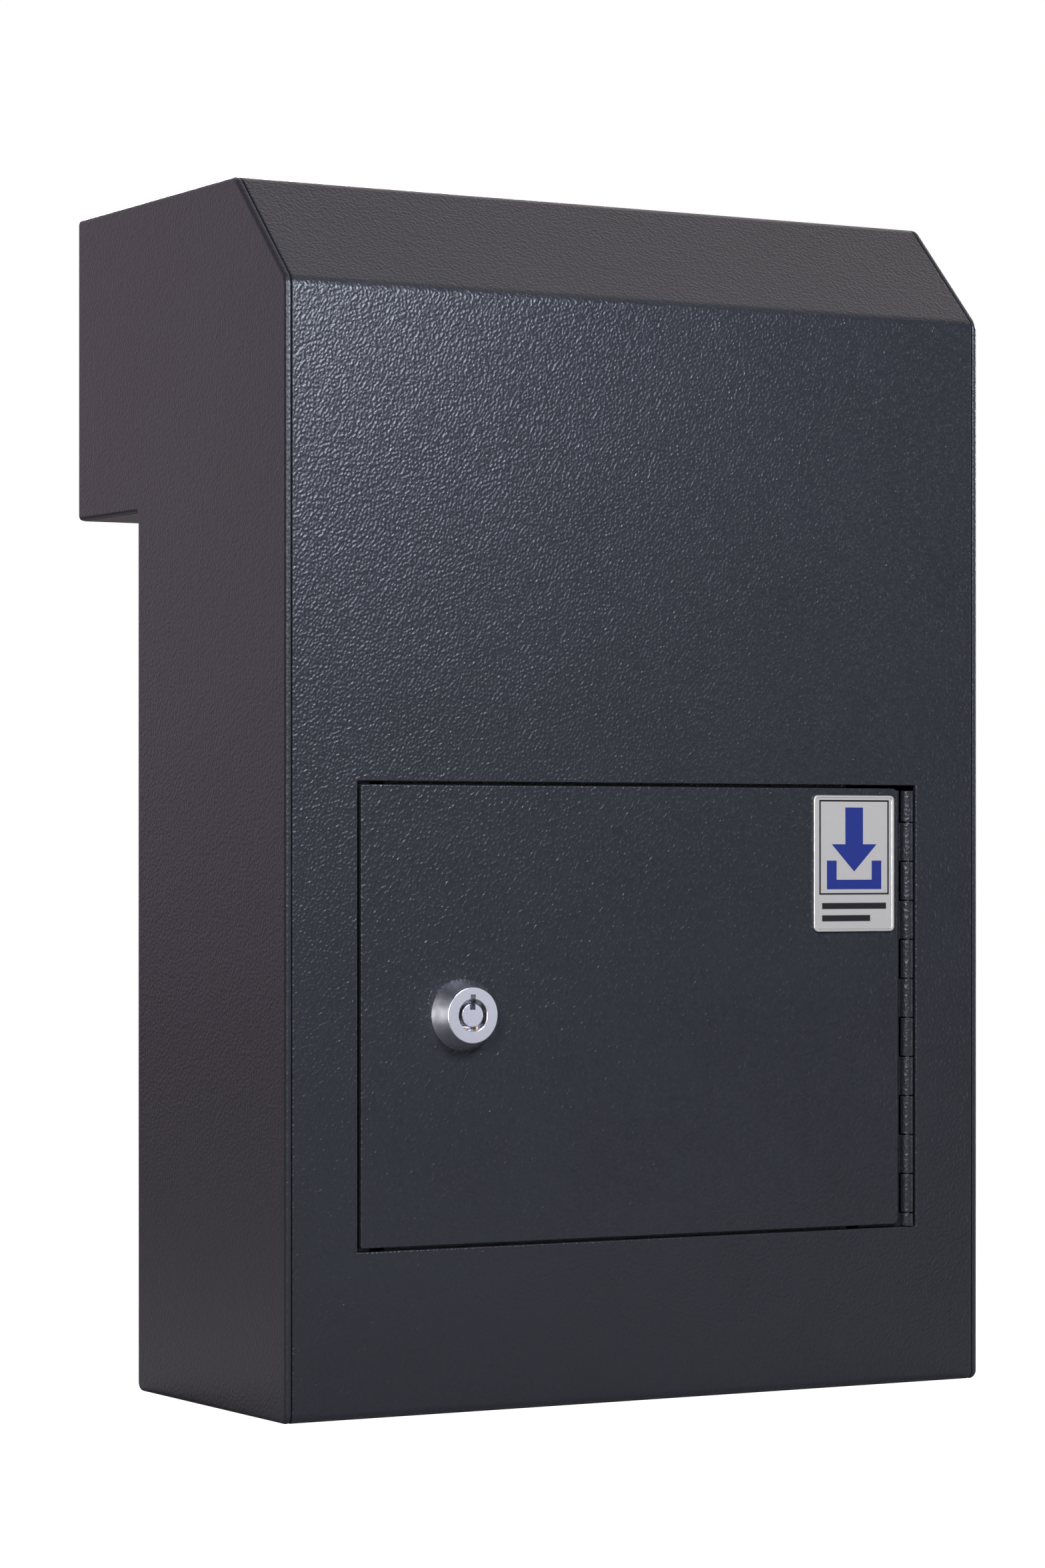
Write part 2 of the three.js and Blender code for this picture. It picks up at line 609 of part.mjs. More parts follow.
function lockBody() {
  const shell = turned([
    [GROOVE_R, BEZEL_FRONT],
    [BEZEL_FACE_R, BEZEL_FRONT],
    [BEZEL_R, BEZEL_BACK - BEZEL_RIM],
    [BEZEL_R, BEZEL_BACK],
    [BARREL_R, BEZEL_BACK],
    [BARREL_R, BARREL_END],
    [ROTOR_BORE_R, BARREL_END],
    [ROTOR_BORE_R, GROOVE_FLOOR],
    [GROOVE_R, GROOVE_FLOOR],
    [GROOVE_R, BEZEL_FRONT],
  ], 40, ALONG_Y, LOCK_AXIS);
  const notch = box(
    [LOCK_X - FACE_NOTCH / 2, LOCK_X + FACE_NOTCH / 2],
    [BEZEL_FRONT - 1, GROOVE_FLOOR - GROOVE_DEPTH / 2],
    [LOCK_Z, LOCK_Z + GROOVE_R + FACE_NOTCH_REACH],
  );
  const lug = extrude(
    sector(STOP_LUG_INNER_R, STOP_WASHER_R,
      LUG_CLOCK - STOP_LUG_HALF_ANGLE, LUG_CLOCK + STOP_LUG_HALF_ANGLE, LOCK_Z, LOCK_X),
    ALONG_Y, BARREL_END - STOP_LUG_HEIGHT, BARREL_END + STOP_LUG_HEIGHT,
  );
  let body = shell.subtract(notch).add(lug);
  for (const side of [-1, 1]) {
    const across = [side * BARREL_FLAT, side * 2 * BARREL_R].sort((a, b) => a - b);
    body = body.subtract(box(
      across.map((x) => LOCK_X + x),
      [BEZEL_BACK, BARREL_END + 2 * STOP_LUG_HEIGHT],
      [LOCK_Z - BARREL_R, LOCK_Z + BARREL_R],
    ));
  }
  return piece('lock_body', body, chrome);
}

// The turning plug: key post, pin holes, square drive and threaded stud.
function lockPlug() {
  let plug = turned([
    [0, BEZEL_FRONT + POST_RECESS],
    [POST_R, BEZEL_FRONT + POST_RECESS],
    [POST_R, ROTOR_FRONT],
    [ROTOR_R, ROTOR_FRONT],
    [ROTOR_R, ROTOR_END],
    [STUD_R, ROTOR_END],
    [STUD_R, STUD_END],
    [0, STUD_END],
  ], 32, ALONG_Y, LOCK_AXIS);
  const half = SPINDLE_SIDE / 2;
  const drive = box(
    [LOCK_X - half, LOCK_X + half],
    [ROTOR_END - 1, CAM_BACK - PART_GAP],
    [LOCK_Z - half, LOCK_Z + half],
  );
  const notch = box(
    [LOCK_X - POST_NOTCH / 2, LOCK_X + POST_NOTCH / 2],
    [BEZEL_FRONT - 1, ROTOR_FRONT],
    [LOCK_Z + POST_R - POST_NOTCH_REACH, LOCK_Z + 2 * POST_R],
  );
  plug = plug.add(drive).subtract(notch);
  for (let i = 1; i <= PIN_COUNT; i += 1) {
    const depth = [ROTOR_FRONT - 1, ROTOR_FRONT + PIN_HOLE_DEPTH];
    plug = plug.subtract(disc(PIN_HOLE_R, depth, 10, ALONG_Y, pinCentre(i)));
  }
  return piece('lock_plug', plug, satinFace);
}

// The pins stand around the post, with the eighth place left for the key's notch.
function pinCentre(i) {
  const angle = 2 * Math.PI * i / (PIN_COUNT + 1);
  const radius = (GROOVE_R + POST_R) / 2;
  return [LOCK_X + radius * Math.sin(angle), 0, LOCK_Z + radius * Math.cos(angle)];
}

function lockPin(i) {
  const span = [ROTOR_FRONT - PIN_STANDOUT, ROTOR_FRONT + PIN_HOLE_DEPTH - PART_GAP];
  return piece(`lock_pin_${i}`, disc(PIN_R, span, 10, ALONG_Y, pinCentre(i)), brass);
}

function spurWasher() {
  const front = DOOR_BACK + PART_GAP;
  const outline = Array.from({ length: 2 * SPUR_TEETH }, (_, i) => {
    const angle = Math.PI * i / SPUR_TEETH;
    const radius = BARREL_R + SPUR_WASHER_RIM - (i % 2) * SPUR_DEPTH;
    return new THREE.Vector2(LOCK_Z + radius * Math.cos(angle), LOCK_X + radius * Math.sin(angle));
  });
  const disk = extrude(outline, ALONG_Y, front, front + SPUR_WASHER_THICKNESS);
  const hole = disc(BARREL_R + PART_GAP, [front - 1, front + SHEET], 32, ALONG_Y, LOCK_AXIS);
  return piece('lock_spur_washer', disk.subtract(hole), zinc);
}

function lockNut() {
  const front = DOOR_BACK + 2 * PART_GAP + SPUR_WASHER_THICKNESS;
  const outline = hexagon(2 * (BARREL_R + NUT_WALL), LOCK_Z, LOCK_X);
  const blank = extrude(outline, ALONG_Y, front, front + NUT_THICKNESS);
  const hole = disc(BARREL_R + PART_GAP, [front - 1, front + NUT_THICKNESS + 1], 32, ALONG_Y, LOCK_AXIS);
  return piece('lock_nut', blank.subtract(hole), zinc);
}

function squareHole(from, to) {
  const half = SPINDLE_SIDE / 2 + PART_GAP / 2;
  return box([LOCK_X - half, LOCK_X + half], [from - 1, to + 1], [LOCK_Z - half, LOCK_Z + half]);
}

// A cut-out in the washer's rim rides over the barrel's lug and ends the cam's turn.
function stopWasher() {
  const back = STOP_WASHER_FRONT + STOP_WASHER_THICKNESS;
  const disk = disc(STOP_WASHER_R, [STOP_WASHER_FRONT, back], 32, ALONG_Y, LOCK_AXIS);
  const reach = STOP_LUG_HALF_ANGLE + STOP_CUTOUT_MARGIN;
  const cutout = sector(
    STOP_LUG_INNER_R - PART_GAP, STOP_WASHER_R + 1,
    LUG_CLOCK - reach - CAM_TURN, LUG_CLOCK + reach,
    LOCK_Z, LOCK_X,
  );
  const path = extrude(cutout, ALONG_Y, STOP_WASHER_FRONT - 1, back + 1);
  const hole = squareHole(STOP_WASHER_FRONT, back);
  return piece('cam_stop_washer', disk.subtract(path).subtract(hole), zinc);
}

// The cam hangs straight down when the door is free and turns a quarter to lock it.
function lockCam() {
  const hub = disc(CAM_HUB_R, [CAM_FRONT, CAM_BACK], 32, ALONG_Y, LOCK_AXIS);
  const half = CAM_WIDTH / 2;
  const arm = extrude(rounded([
    [LOCK_Z - CAM_REACH, LOCK_X - half, half / 2],
    [LOCK_Z - CAM_REACH, LOCK_X + half, half / 2],
    [LOCK_Z, LOCK_X + half],
    [LOCK_Z, LOCK_X - half],
  ].reverse()), ALONG_Y, CAM_FRONT, CAM_BACK);
  return piece('lock_cam', hub.add(arm).subtract(squareHole(CAM_FRONT, CAM_BACK)), zinc);
}

function camWasher() {
  const span = [CAM_WASHER_FRONT, CAM_WASHER_FRONT + CAM_WASHER_THICKNESS];
  return piece('cam_washer', ring(STUD_R + PART_GAP, CAM_WASHER_R, span, 24, ALONG_Y, LOCK_AXIS), zinc);
}

function camNut() {
  const back = CAM_NUT_FRONT + CAM_NUT_THICKNESS;
  const blank = extrude(hexagon(CAM_NUT_FLATS, LOCK_Z, LOCK_X), ALONG_Y, CAM_NUT_FRONT, back);
  const hole = disc(STUD_R + PART_GAP, [CAM_NUT_FRONT - 1, back + 1], 24, ALONG_Y, LOCK_AXIS);
  return piece('cam_nut', blank.subtract(hole), zinc);
}

// ------------------------------------------------------------------- the intake flap

const ROD_AXIS = [0, ROD_Y, ROD_Z];

// The flap hangs straight down from its curled top edge and covers the slot from inside.
function intakeFlap() {
  const span = [-FLAP_HALF_WIDTH, FLAP_HALF_WIDTH];
  const curl = disc(FLAP_CURL_R, span, 24, ALONG_X, ROD_AXIS);
  const face = [ROD_Y - FLAP_THICKNESS / 2, ROD_Y + FLAP_THICKNESS / 2];
  const blade = box(span, face, [SLOT_BOTTOM - FLAP_LOWER_LAP, ROD_Z]);
  const bore = disc(FLAP_CURL_BORE_R, [span[0] - 1, span[1] + 1], 16, ALONG_X, ROD_AXIS);
  return piece('intake_flap', curl.add(blade).subtract(bore), charcoalPaint);
}

function flapRod() {
  const end = CLIP_INNER + CLIP_THICKNESS + ROD_STANDOUT;
  let rod = disc(FLAP_ROD_R, [-end, end], 16, ALONG_X, ROD_AXIS);
  for (const side of [-1, 1]) {
    const span = [CLIP_INNER - PART_GAP / 2, CLIP_INNER + CLIP_THICKNESS + PART_GAP / 2];
    const cut = span.map((x) => side * x).sort((a, b) => a - b);
    rod = rod.subtract(ring(CLIP_GROOVE_R, FLAP_ROD_R + 1, cut, 16, ALONG_X, ROD_AXIS));
  }
  return piece('flap_rod', rod, bareSteel);
}

// A bracket welded under the top: a cheek with the rod's hole and an outward flange.
function flapBracket(name, side) {
  const rear = INTAKE_PLATE_FRONT - WELD_GAP;
  const depth = [rear - BRACKET_DEPTH, rear];
  const top = ROOF_UNDERSIDE - WELD_GAP;
  const across = (near, far) => [side * near, side * far].sort((a, b) => a - b);
  const cheek = box(across(BRACKET_INNER, BRACKET_OUTER), depth, [ROD_Z - BRACKET_BELOW_ROD, top]);
  const flange = box(across(BRACKET_INNER, BRACKET_OUTER + BRACKET_FLANGE), depth, [top - SHEET, top]);
  const hole = disc(ROD_HOLE_R, across(BRACKET_INNER - 1, BRACKET_OUTER + 1), 16, ALONG_X, ROD_AXIS);
  return piece(name, cheek.add(flange).subtract(hole), charcoalPaint);
}

function rodClip(name, side) {
  const span = [side * CLIP_INNER, side * (CLIP_INNER + CLIP_THICKNESS)].sort((a, b) => a - b);
  const washer = ring(CLIP_BORE_R, CLIP_R, span, 20, ALONG_X, ROD_AXIS);
  const mouth = box(
    [span[0] - 1, span[1] + 1],
    [ROD_Y - CLIP_MOUTH / 2, ROD_Y + CLIP_MOUTH / 2],
    [ROD_Z - 2 * CLIP_R, ROD_Z],
  );
  return piece(name, washer.subtract(mouth), bareSteel);
}

// ---------------------------------------------------------------------- the assembly

const dropBox = new THREE.Group();
dropBox.add(
  sidePanel('side_panel_left', -1),
  sidePanel('side_panel_right', 1),
  bodyWrap(),
  backPanel(),
  chuteFloor(),
  intakePlate(),
  baffle(),
  doorStop('door_stop_top', OPENING_TOP, -1),
  doorStop('door_stop_bottom', OPENING_BOTTOM, 1),
  latchAngle(),
  doorPanel(),
  namePlate(),
  hingeLeaf('hinge_leaf_door', -1, 1),
  hingeLeaf('hinge_leaf_frame', 1, 0),
  hingePin(),
  lockBody(),
  lockPlug(),
  ...Array.from({ length: PIN_COUNT }, (_, i) => lockPin(i + 1)),
  spurWasher(),
  lockNut(),
  stopWasher(),
  lockCam(),
  camWasher(),
  camNut(),
  intakeFlap(),
  flapRod(),
  flapBracket('flap_bracket_left', -1),
  flapBracket('flap_bracket_right', 1),
  rodClip('rod_clip_left', -1),
  rodClip('rod_clip_right', 1),
);
dropBox.position.y = -CENTRE_Y;

export default dropBox;
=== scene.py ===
"""Parcel drop box: the finished look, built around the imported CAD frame. Metres, +Z up."""

import math

import bmesh
import bpy
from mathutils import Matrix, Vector
from mathutils.geometry import delaunay_2d_cdt


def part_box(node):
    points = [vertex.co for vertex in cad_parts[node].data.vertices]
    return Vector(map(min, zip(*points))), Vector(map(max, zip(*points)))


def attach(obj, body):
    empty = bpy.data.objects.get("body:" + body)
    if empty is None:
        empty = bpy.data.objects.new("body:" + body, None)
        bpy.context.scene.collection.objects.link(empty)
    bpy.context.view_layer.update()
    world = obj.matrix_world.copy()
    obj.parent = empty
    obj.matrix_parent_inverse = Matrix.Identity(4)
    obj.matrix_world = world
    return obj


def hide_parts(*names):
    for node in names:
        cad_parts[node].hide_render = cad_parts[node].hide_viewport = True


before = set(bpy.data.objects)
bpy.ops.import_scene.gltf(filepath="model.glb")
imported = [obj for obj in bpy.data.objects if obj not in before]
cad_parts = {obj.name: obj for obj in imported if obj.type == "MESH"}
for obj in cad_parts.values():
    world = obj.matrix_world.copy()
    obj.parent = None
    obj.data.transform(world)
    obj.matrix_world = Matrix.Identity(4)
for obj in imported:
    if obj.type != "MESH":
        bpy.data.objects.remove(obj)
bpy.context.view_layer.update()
MM = 0.001

# ------------------------------------------------------------------ sizes from the frame

wrap_lo, wrap_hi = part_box("body_wrap")
side_lo, side_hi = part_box("side_panel_right")
back_lo, back_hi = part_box("back_panel")
floor_lo, floor_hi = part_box("chute_floor")
intake_lo, intake_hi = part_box("intake_plate")
door_lo, door_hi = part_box("door_panel")
plate_lo, plate_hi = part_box("name_plate")
pin_lo, pin_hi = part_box("hinge_pin")
leaf_lo, leaf_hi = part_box("hinge_leaf_door")
body_lo, body_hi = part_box("lock_body")
plug_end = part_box("lock_plug")[1].y
cam_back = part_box("lock_cam")[1].y

FRONT = wrap_lo.y
TOP = wrap_hi.z
REAR = wrap_hi.y
LOWER_REAR = back_hi.y
CHUTE_UNDERSIDE = floor_lo.z
SHEET = floor_hi.z - floor_lo.z
HALF_WIDTH = side_hi.x

# Shape of the casing that the boxes don't give
SLOPE = 35 * MM
FRONT_FOLD_R = 5.5 * MM
BOTTOM_FOLD_R = 3 * MM
REAR_CORNER_R = 1.7 * MM
FOOT_CORNER_R = 2.7 * MM
INNER_CORNER_R = 1 * MM
SIDE_EDGE_R = 1.3 * MM
SEAM_EDGE_R = 0.5 * MM
FIXING_HOLE_R = 3.5 * MM
FIXING_HALF_SPACING = 90 * MM
FIXING_ROWS = (60 * MM, 230 * MM)
SLOT_HALF_WIDTH = 101.5 * MM
SLOT_HEIGHT = 50 * MM
SLOT_ABOVE_FLOOR = 18 * MM
SLOT_CORNER_R = 4 * MM

# The door's opening stands off the door by these gaps
DOOR_GAP_LEFT = 1.2 * MM
DOOR_GAP_ENDS = 1 * MM
DOOR_GAP_HINGE = 6.8 * MM
DOOR_EDGE_R = 0.55 * MM
DOOR_CORNER_R = 2 * MM
DOOR_FREE_CORNER_R = 0.8 * MM
DOOR_BACK_EDGE_R = 0.3 * MM
LOCK_HOLE_R = 9.8 * MM
OPENING_LEFT = door_lo.x - DOOR_GAP_LEFT
OPENING_RIGHT = door_hi.x + DOOR_GAP_HINGE
OPENING_BOTTOM = door_lo.z - DOOR_GAP_ENDS
OPENING_TOP = door_hi.z + DOOR_GAP_ENDS

LOCK = Vector(((body_lo.x + body_hi.x) / 2, 0, (body_lo.z + body_hi.z) / 2))
HINGE = Vector(((pin_lo.x + pin_hi.x) / 2, (pin_lo.y + pin_hi.y) / 2, 0))

# Faces that meet at more than these angles, in degrees, keep a sharp edge
FLAT_SHARP = 40
FOLD_SHARP = 35
TURNED_SHARP = 32


# ------------------------------------------------------------------------ mesh building

def rounded(corners, arc_steps=8):
    """A closed outline of (u, v, radius) corners, anticlockwise, each rounded by an arc."""
    points = []
    for i, (u, v, radius) in enumerate(corners):
        corner = Vector((u, v))
        if radius <= 0:
            points.append(corner)
            continue
        back = (Vector(corners[i - 1][:2]) - corner).normalized()
        onward = (Vector(corners[(i + 1) % len(corners)][:2]) - corner).normalized()
        half = back.angle(onward) / 2
        centre = corner + (back + onward).normalized() * radius / math.sin(half)
        start = corner + back * radius / math.tan(half) - centre
        turn = math.pi - 2 * half
        if back.x * onward.y - back.y * onward.x > 0:
            turn = -turn
        for k in range(arc_steps + 1):
            angle = turn * k / arc_steps
            spoke = Vector((
                start.x * math.cos(angle) - start.y * math.sin(angle),
                start.x * math.sin(angle) + start.y * math.cos(angle),
            ))
            points.append(centre + spoke)
    return points


def rectangle(x0, z0, x1, z1, radius=0.0, clockwise=False, arc_steps=5):
    loop = rounded([(x0, z0, radius), (x1, z0, radius), (x1, z1, radius), (x0, z1, radius)], arc_steps)
    return loop[::-1] if clockwise else loop


def round_hole(centre, radius, steps):
    """A clockwise circle."""
    turn = -2 * math.pi
    return [
        Vector((
            centre[0] + radius * math.cos(turn * k / steps),
            centre[1] + radius * math.sin(turn * k / steps),
        ))
        for k in range(steps)
    ]


def inset(loop, distance):
    """Moves a closed loop to its left by a distance: inward when it is anticlockwise."""
    moved = []
    for i, point in enumerate(loop):
        before = (point - loop[i - 1]).normalized()
        after = (loop[(i + 1) % len(loop)] - point).normalized()
        left_before = Vector((-before.y, before.x))
        left_after = Vector((-after.y, after.x))
        share = 1 + left_before.dot(left_after)
        moved.append(point + (left_before + left_after) * distance / max(share, 0.2))
    return moved


def fill(loops):
    """Triangles over the area inside the first loop and outside the others."""
    points = [p for loop in loops for p in loop]
    rims = []
    start = 0
    for loop in loops:
        rims.append(list(range(start, start + len(loop))))
        start += len(loop)
    edges = [(rim[k - 1], rim[k]) for rim in rims for k in range(len(rim))]
    _, _, faces, old, _, _ = delaunay_2d_cdt(points, edges, [], 1, 1e-9)
    if len(loops) == 1:
        return [[old[v][0] for v in f] for f in faces]
    kept = []
    for f in faces:
        corners = [old[v][0] for v in f]
        middle = sum((points[v] for v in corners), Vector((0, 0))) / len(corners)
        if not any(inside(middle, loop) for loop in loops[1:]):
            kept.append(corners)
    return kept


def inside(point, loop):
    """Whether a point lies inside a closed loop."""
    crossings = 0
    for i, b in enumerate(loop):
        a = loop[i - 1]
        if (a.y > point.y) != (b.y > point.y):
            if point.x < a.x + (point.y - a.y) * (b.x - a.x) / (b.y - a.y):
                crossings += 1
    return crossings % 2 == 1


def mesh_object(name, vertices, faces, sharp_angle):
    """A new object whose coinciding points are merged and whose faces point outward."""
    mesh = bpy.data.meshes.new(name)
    mesh.from_pydata([tuple(v) for v in vertices], [], faces)
    bm = bmesh.new()
    bm.from_mesh(mesh)
    bmesh.ops.remove_doubles(bm, verts=bm.verts, dist=1e-7)
    bmesh.ops.recalc_face_normals(bm, faces=bm.faces)
    bm.to_mesh(mesh)
    bm.free()
    obj = bpy.data.objects.new(name, mesh)
    bpy.context.scene.collection.objects.link(obj)
    shade(obj, sharp_angle)
    return obj


def shade(obj, sharp_angle):
    """Smooth shading with sharp edges over an angle, flat faces kept flat."""
    obj.data.polygons.foreach_set("use_smooth", [True] * len(obj.data.polygons))
    obj.data.set_sharp_from_angle(angle=math.radians(sharp_angle))
    weights = obj.modifiers.new("weights", "WEIGHTED_NORMAL")
    weights.keep_sharp = True
    weights.weight = 80


def plate(name, loops, place, low, high, low_radius, high_radius, steps=4):
    """A flat plate with rounded rims. The loops are its outline, anticlockwise, and its
    holes, clockwise; place(u, v, w) puts an outline point at a depth between low and high."""
    rings = []
    for k in range(steps + 1):
        angle = math.pi / 2 * k / steps
        rings.append((low_radius * (1 - math.sin(angle)), low + low_radius * (1 - math.cos(angle))))
    for k in range(steps, -1, -1):
        angle = math.pi / 2 * k / steps
        rings.append((high_radius * (1 - math.sin(angle)), high - high_radius * (1 - math.cos(angle))))
    vertices = []
    faces = []
    count = sum(len(loop) for loop in loops)
    for distance, depth in rings:
        for loop in loops:
            vertices += [place(p.x, p.y, depth) for p in inset(loop, distance)]
    for ring in range(len(rings) - 1):
        start = ring * count
        for loop in loops:
            n = len(loop)
            for i in range(n):
                a, b = start + i, start + (i + 1) % n
                faces.append((a, b, b + count, a + count))
            start += n
    for ring in (0, len(rings) - 1):
        cap = [inset(loop, rings[ring][0]) for loop in loops]
        faces += [[ring * count + v for v in face] for face in fill(cap)]
    return mesh_object(name, vertices, faces, FLAT_SHARP)


def lathe(name, profile, centre, axis, segments):
    """Turns a closed profile of (radius, place) about a "Y" or "Z" axis through a centre."""
    vertices = []
    n = len(profile)
    for s in range(segments):
        angle = 2 * math.pi * s / segments
        for radius, along in profile:
            p, q = radius * math.cos(angle), radius * math.sin(angle)
            spot = {"Y": (q, along, p), "Z": (p, q, along)}[axis]
            vertices.append(Vector(spot) + centre)
    faces = []
    for s in range(segments):
        a, b = s * n, (s + 1) % segments * n
        for i in range(n):
            j = (i + 1) % n
            if profile[i][0] < 1e-9 and profile[j][0] < 1e-9:
                continue
            faces.append((a + i, b + i, b + j, a + j))
    return mesh_object(name, vertices, faces, TURNED_SHARP)


def block(name, low, high, radius):
    """A box with rounded edges."""
    bm = bmesh.new()
    bmesh.ops.create_cube(bm, size=1)
    size = Vector(high) - Vector(low)
    for v in bm.verts:
        v.co = Vector(low) + Vector((v.co[i] + 0.5) * size[i] for i in range(3))
    if radius > 0:
        bmesh.ops.bevel(bm, geom=bm.edges, offset=radius, segments=2, profile=0.5, affect="EDGES")
    mesh = bpy.data.meshes.new(name)
    bm.to_mesh(mesh)
    bm.free()
    obj = bpy.data.objects.new(name, mesh)
    bpy.context.scene.collection.objects.link(obj)
    shade(obj, FLAT_SHARP)
    return obj


def apply_modifiers(obj):
    """Turns the modified shape into the object's own mesh."""
    evaluated = obj.evaluated_get(bpy.context.evaluated_depsgraph_get())
    mesh = bpy.data.meshes.new_from_object(evaluated)
    obj.modifiers.clear()
    obj.data = mesh


def cut(obj, *cutters):
    """Subtracts other objects, which are then removed."""
    obj.modifiers.clear()
    for cutter in cutters:
        cutter.modifiers.clear()
        difference = obj.modifiers.new("cut", "BOOLEAN")
        difference.operation = "DIFFERENCE"
        difference.solver = "EXACT"
        difference.object = cutter
    bpy.context.view_layer.update()
    apply_modifiers(obj)
    for cutter in cutters:
        bpy.data.objects.remove(cutter)
    shade(obj, TURNED_SHARP)


def join(name, objects):
    """One object from several, their meshes added together."""
    bm = bmesh.new()
    for obj in objects:
        bm.from_mesh(obj.data)
    mesh = bpy.data.meshes.new(name)
    bm.to_mesh(mesh)
    bm.free()
    for obj in objects:
        bpy.data.objects.remove(obj)
    joined = bpy.data.objects.new(name, mesh)
    bpy.context.scene.collection.objects.link(joined)
    shade(joined, TURNED_SHARP)
    return joined


# ---------------------------------------------------------------------------- materials

def new_material(name):
    material = bpy.data.materials.new(name)
    material.use_nodes = True
    nodes = material.node_tree.nodes
    return material, nodes, material.node_tree.links, nodes["Principled BSDF"]


def noise(nodes, links, coordinates, scale, detail, roughness=0.5, distortion=0.0):
    texture = nodes.new("ShaderNodeTexNoise")
    texture.inputs["Scale"].default_value = scale
    texture.inputs["Detail"].default_value = detail
    texture.inputs["Roughness"].default_value = roughness
    texture.inputs["Distortion"].default_value = distortion
    links.new(coordinates, texture.inputs["Vector"])
    return texture.outputs["Fac"]


def remap(nodes, links, value, low, high, to_low, to_high):
    node = nodes.new("ShaderNodeMapRange")
    node.inputs["From Min"].default_value = low
    node.inputs["From Max"].default_value = high
    node.inputs["To Min"].default_value = to_low
    node.inputs["To Max"].default_value = to_high
    links.new(value, node.inputs["Value"])
    return node.outputs["Result"]


def from_noise(nodes, links, value, to_low, to_high):
    """Spreads a noise, most of which lies between 0.3 and 0.7, over a new range."""
    return remap(nodes, links, value, 0.3, 0.7, to_low, to_high)


def blend_colours(nodes, links, factor, first, second):
    node = nodes.new("ShaderNodeMix")
    node.data_type = "RGBA"
    node.inputs[6].default_value = (*first, 1)
    node.inputs[7].default_value = (*second, 1)
    links.new(factor, node.inputs[0])
    return node.outputs[2]


def bump(nodes, links, height, distance, under=None):
    """Relief whose full height is a distance in metres, added to the relief under it."""
    node = nodes.new("ShaderNodeBump")
    node.inputs["Distance"].default_value = distance
    node.inputs["Strength"].default_value = 1.0
    links.new(height, node.inputs["Height"])
    if under is not None:
        links.new(under, node.inputs["Normal"])
    return node.outputs["Normal"]


def object_coordinates(nodes, links, rotation=(0, 0, 0), scale=(1, 1, 1)):
    """Object coordinates, turned and then stretched along the turned axes."""
    place = nodes.new("ShaderNodeTexCoord")
    turn = nodes.new("ShaderNodeMapping")
    turn.inputs["Rotation"].default_value = rotation
    links.new(place.outputs["Object"], turn.inputs["Vector"])
    stretch = nodes.new("ShaderNodeMapping")
    stretch.inputs["Scale"].default_value = scale
    links.new(turn.outputs["Vector"], stretch.inputs["Vector"])
    return stretch.outputs["Vector"]


def powder_coat(name, pebble_height):
    """Charcoal powder coat with the pebbled skin of a thick, half-levelled paint film. The
    pebbles are a little longer one way, and they lean."""
    material, nodes, links, shader = new_material(name)
    lean = object_coordinates(nodes, links, (0, math.radians(58), 0), (0.85, 1, 1))
    plain = object_coordinates(nodes, links)
    pebbles = noise(nodes, links, lean, scale=1150, detail=0.6, roughness=0.4, distortion=0.1)
    swell = noise(nodes, links, plain, scale=190, detail=1.0)
    grain = noise(nodes, links, plain, scale=2600, detail=1.0)
    broad = bump(nodes, links, swell, 0.05 * MM)
    raised = bump(nodes, links, from_noise(nodes, links, pebbles, 0, 1), pebble_height, broad)
    fine = bump(nodes, links, grain, 0.006 * MM, raised)
    links.new(fine, shader.inputs["Normal"])
    cloud = noise(nodes, links, plain, scale=30, detail=3.0, roughness=0.6)
    colour = blend_colours(nodes, links, cloud, (0.0135, 0.0145, 0.017), (0.018, 0.019, 0.0225))
    links.new(colour, shader.inputs["Base Color"])
    links.new(from_noise(nodes, links, pebbles, 0.39, 0.33), shader.inputs["Roughness"])
    return material


def polished_chrome():
    """Chrome with a faint cloudy haze from handling."""
    material, nodes, links, shader = new_material("polished_chrome")
    plain = object_coordinates(nodes, links)
    haze = noise(nodes, links, plain, scale=420, detail=1.0)
    links.new(from_noise(nodes, links, haze, 0.25, 0.275), shader.inputs["Roughness"])
    colour = blend_colours(nodes, links, haze, (0.60, 0.60, 0.65), (0.68, 0.68, 0.73))
    links.new(colour, shader.inputs["Base Color"])
    shader.inputs["Metallic"].default_value = 1.0
    return material


def satin_metal(name, first, second, roughness, streak):
    """Metal between two colours, its marks finer along the axes with a larger streak."""
    material, nodes, links, shader = new_material(name)
    brushed = object_coordinates(nodes, links, (0, 0, 0), streak)
    lines = noise(nodes, links, brushed, scale=1400, detail=2.0, roughness=0.6)
    links.new(bump(nodes, links, lines, 0.004 * MM), shader.inputs["Normal"])
    links.new(blend_colours(nodes, links, lines, first, second), shader.inputs["Base Color"])
    gloss = from_noise(nodes, links, lines, roughness - 0.05, roughness + 0.06)
    links.new(gloss, shader.inputs["Roughness"])
    shader.inputs["Metallic"].default_value = 1.0
    return material


def ink(name, colour):
    """Printed ink with a slight mottle."""
    material, nodes, links, shader = new_material(name)
    plain = object_coordinates(nodes, links)
    mottle = noise(nodes, links, plain, scale=1500, detail=2.0)
    darker = tuple(c * 0.85 for c in colour)
    links.new(blend_colours(nodes, links, mottle, darker, colour), shader.inputs["Base Color"])
    links.new(from_noise(nodes, links, mottle, 0.3, 0.42), shader.inputs["Roughness"])
    return material


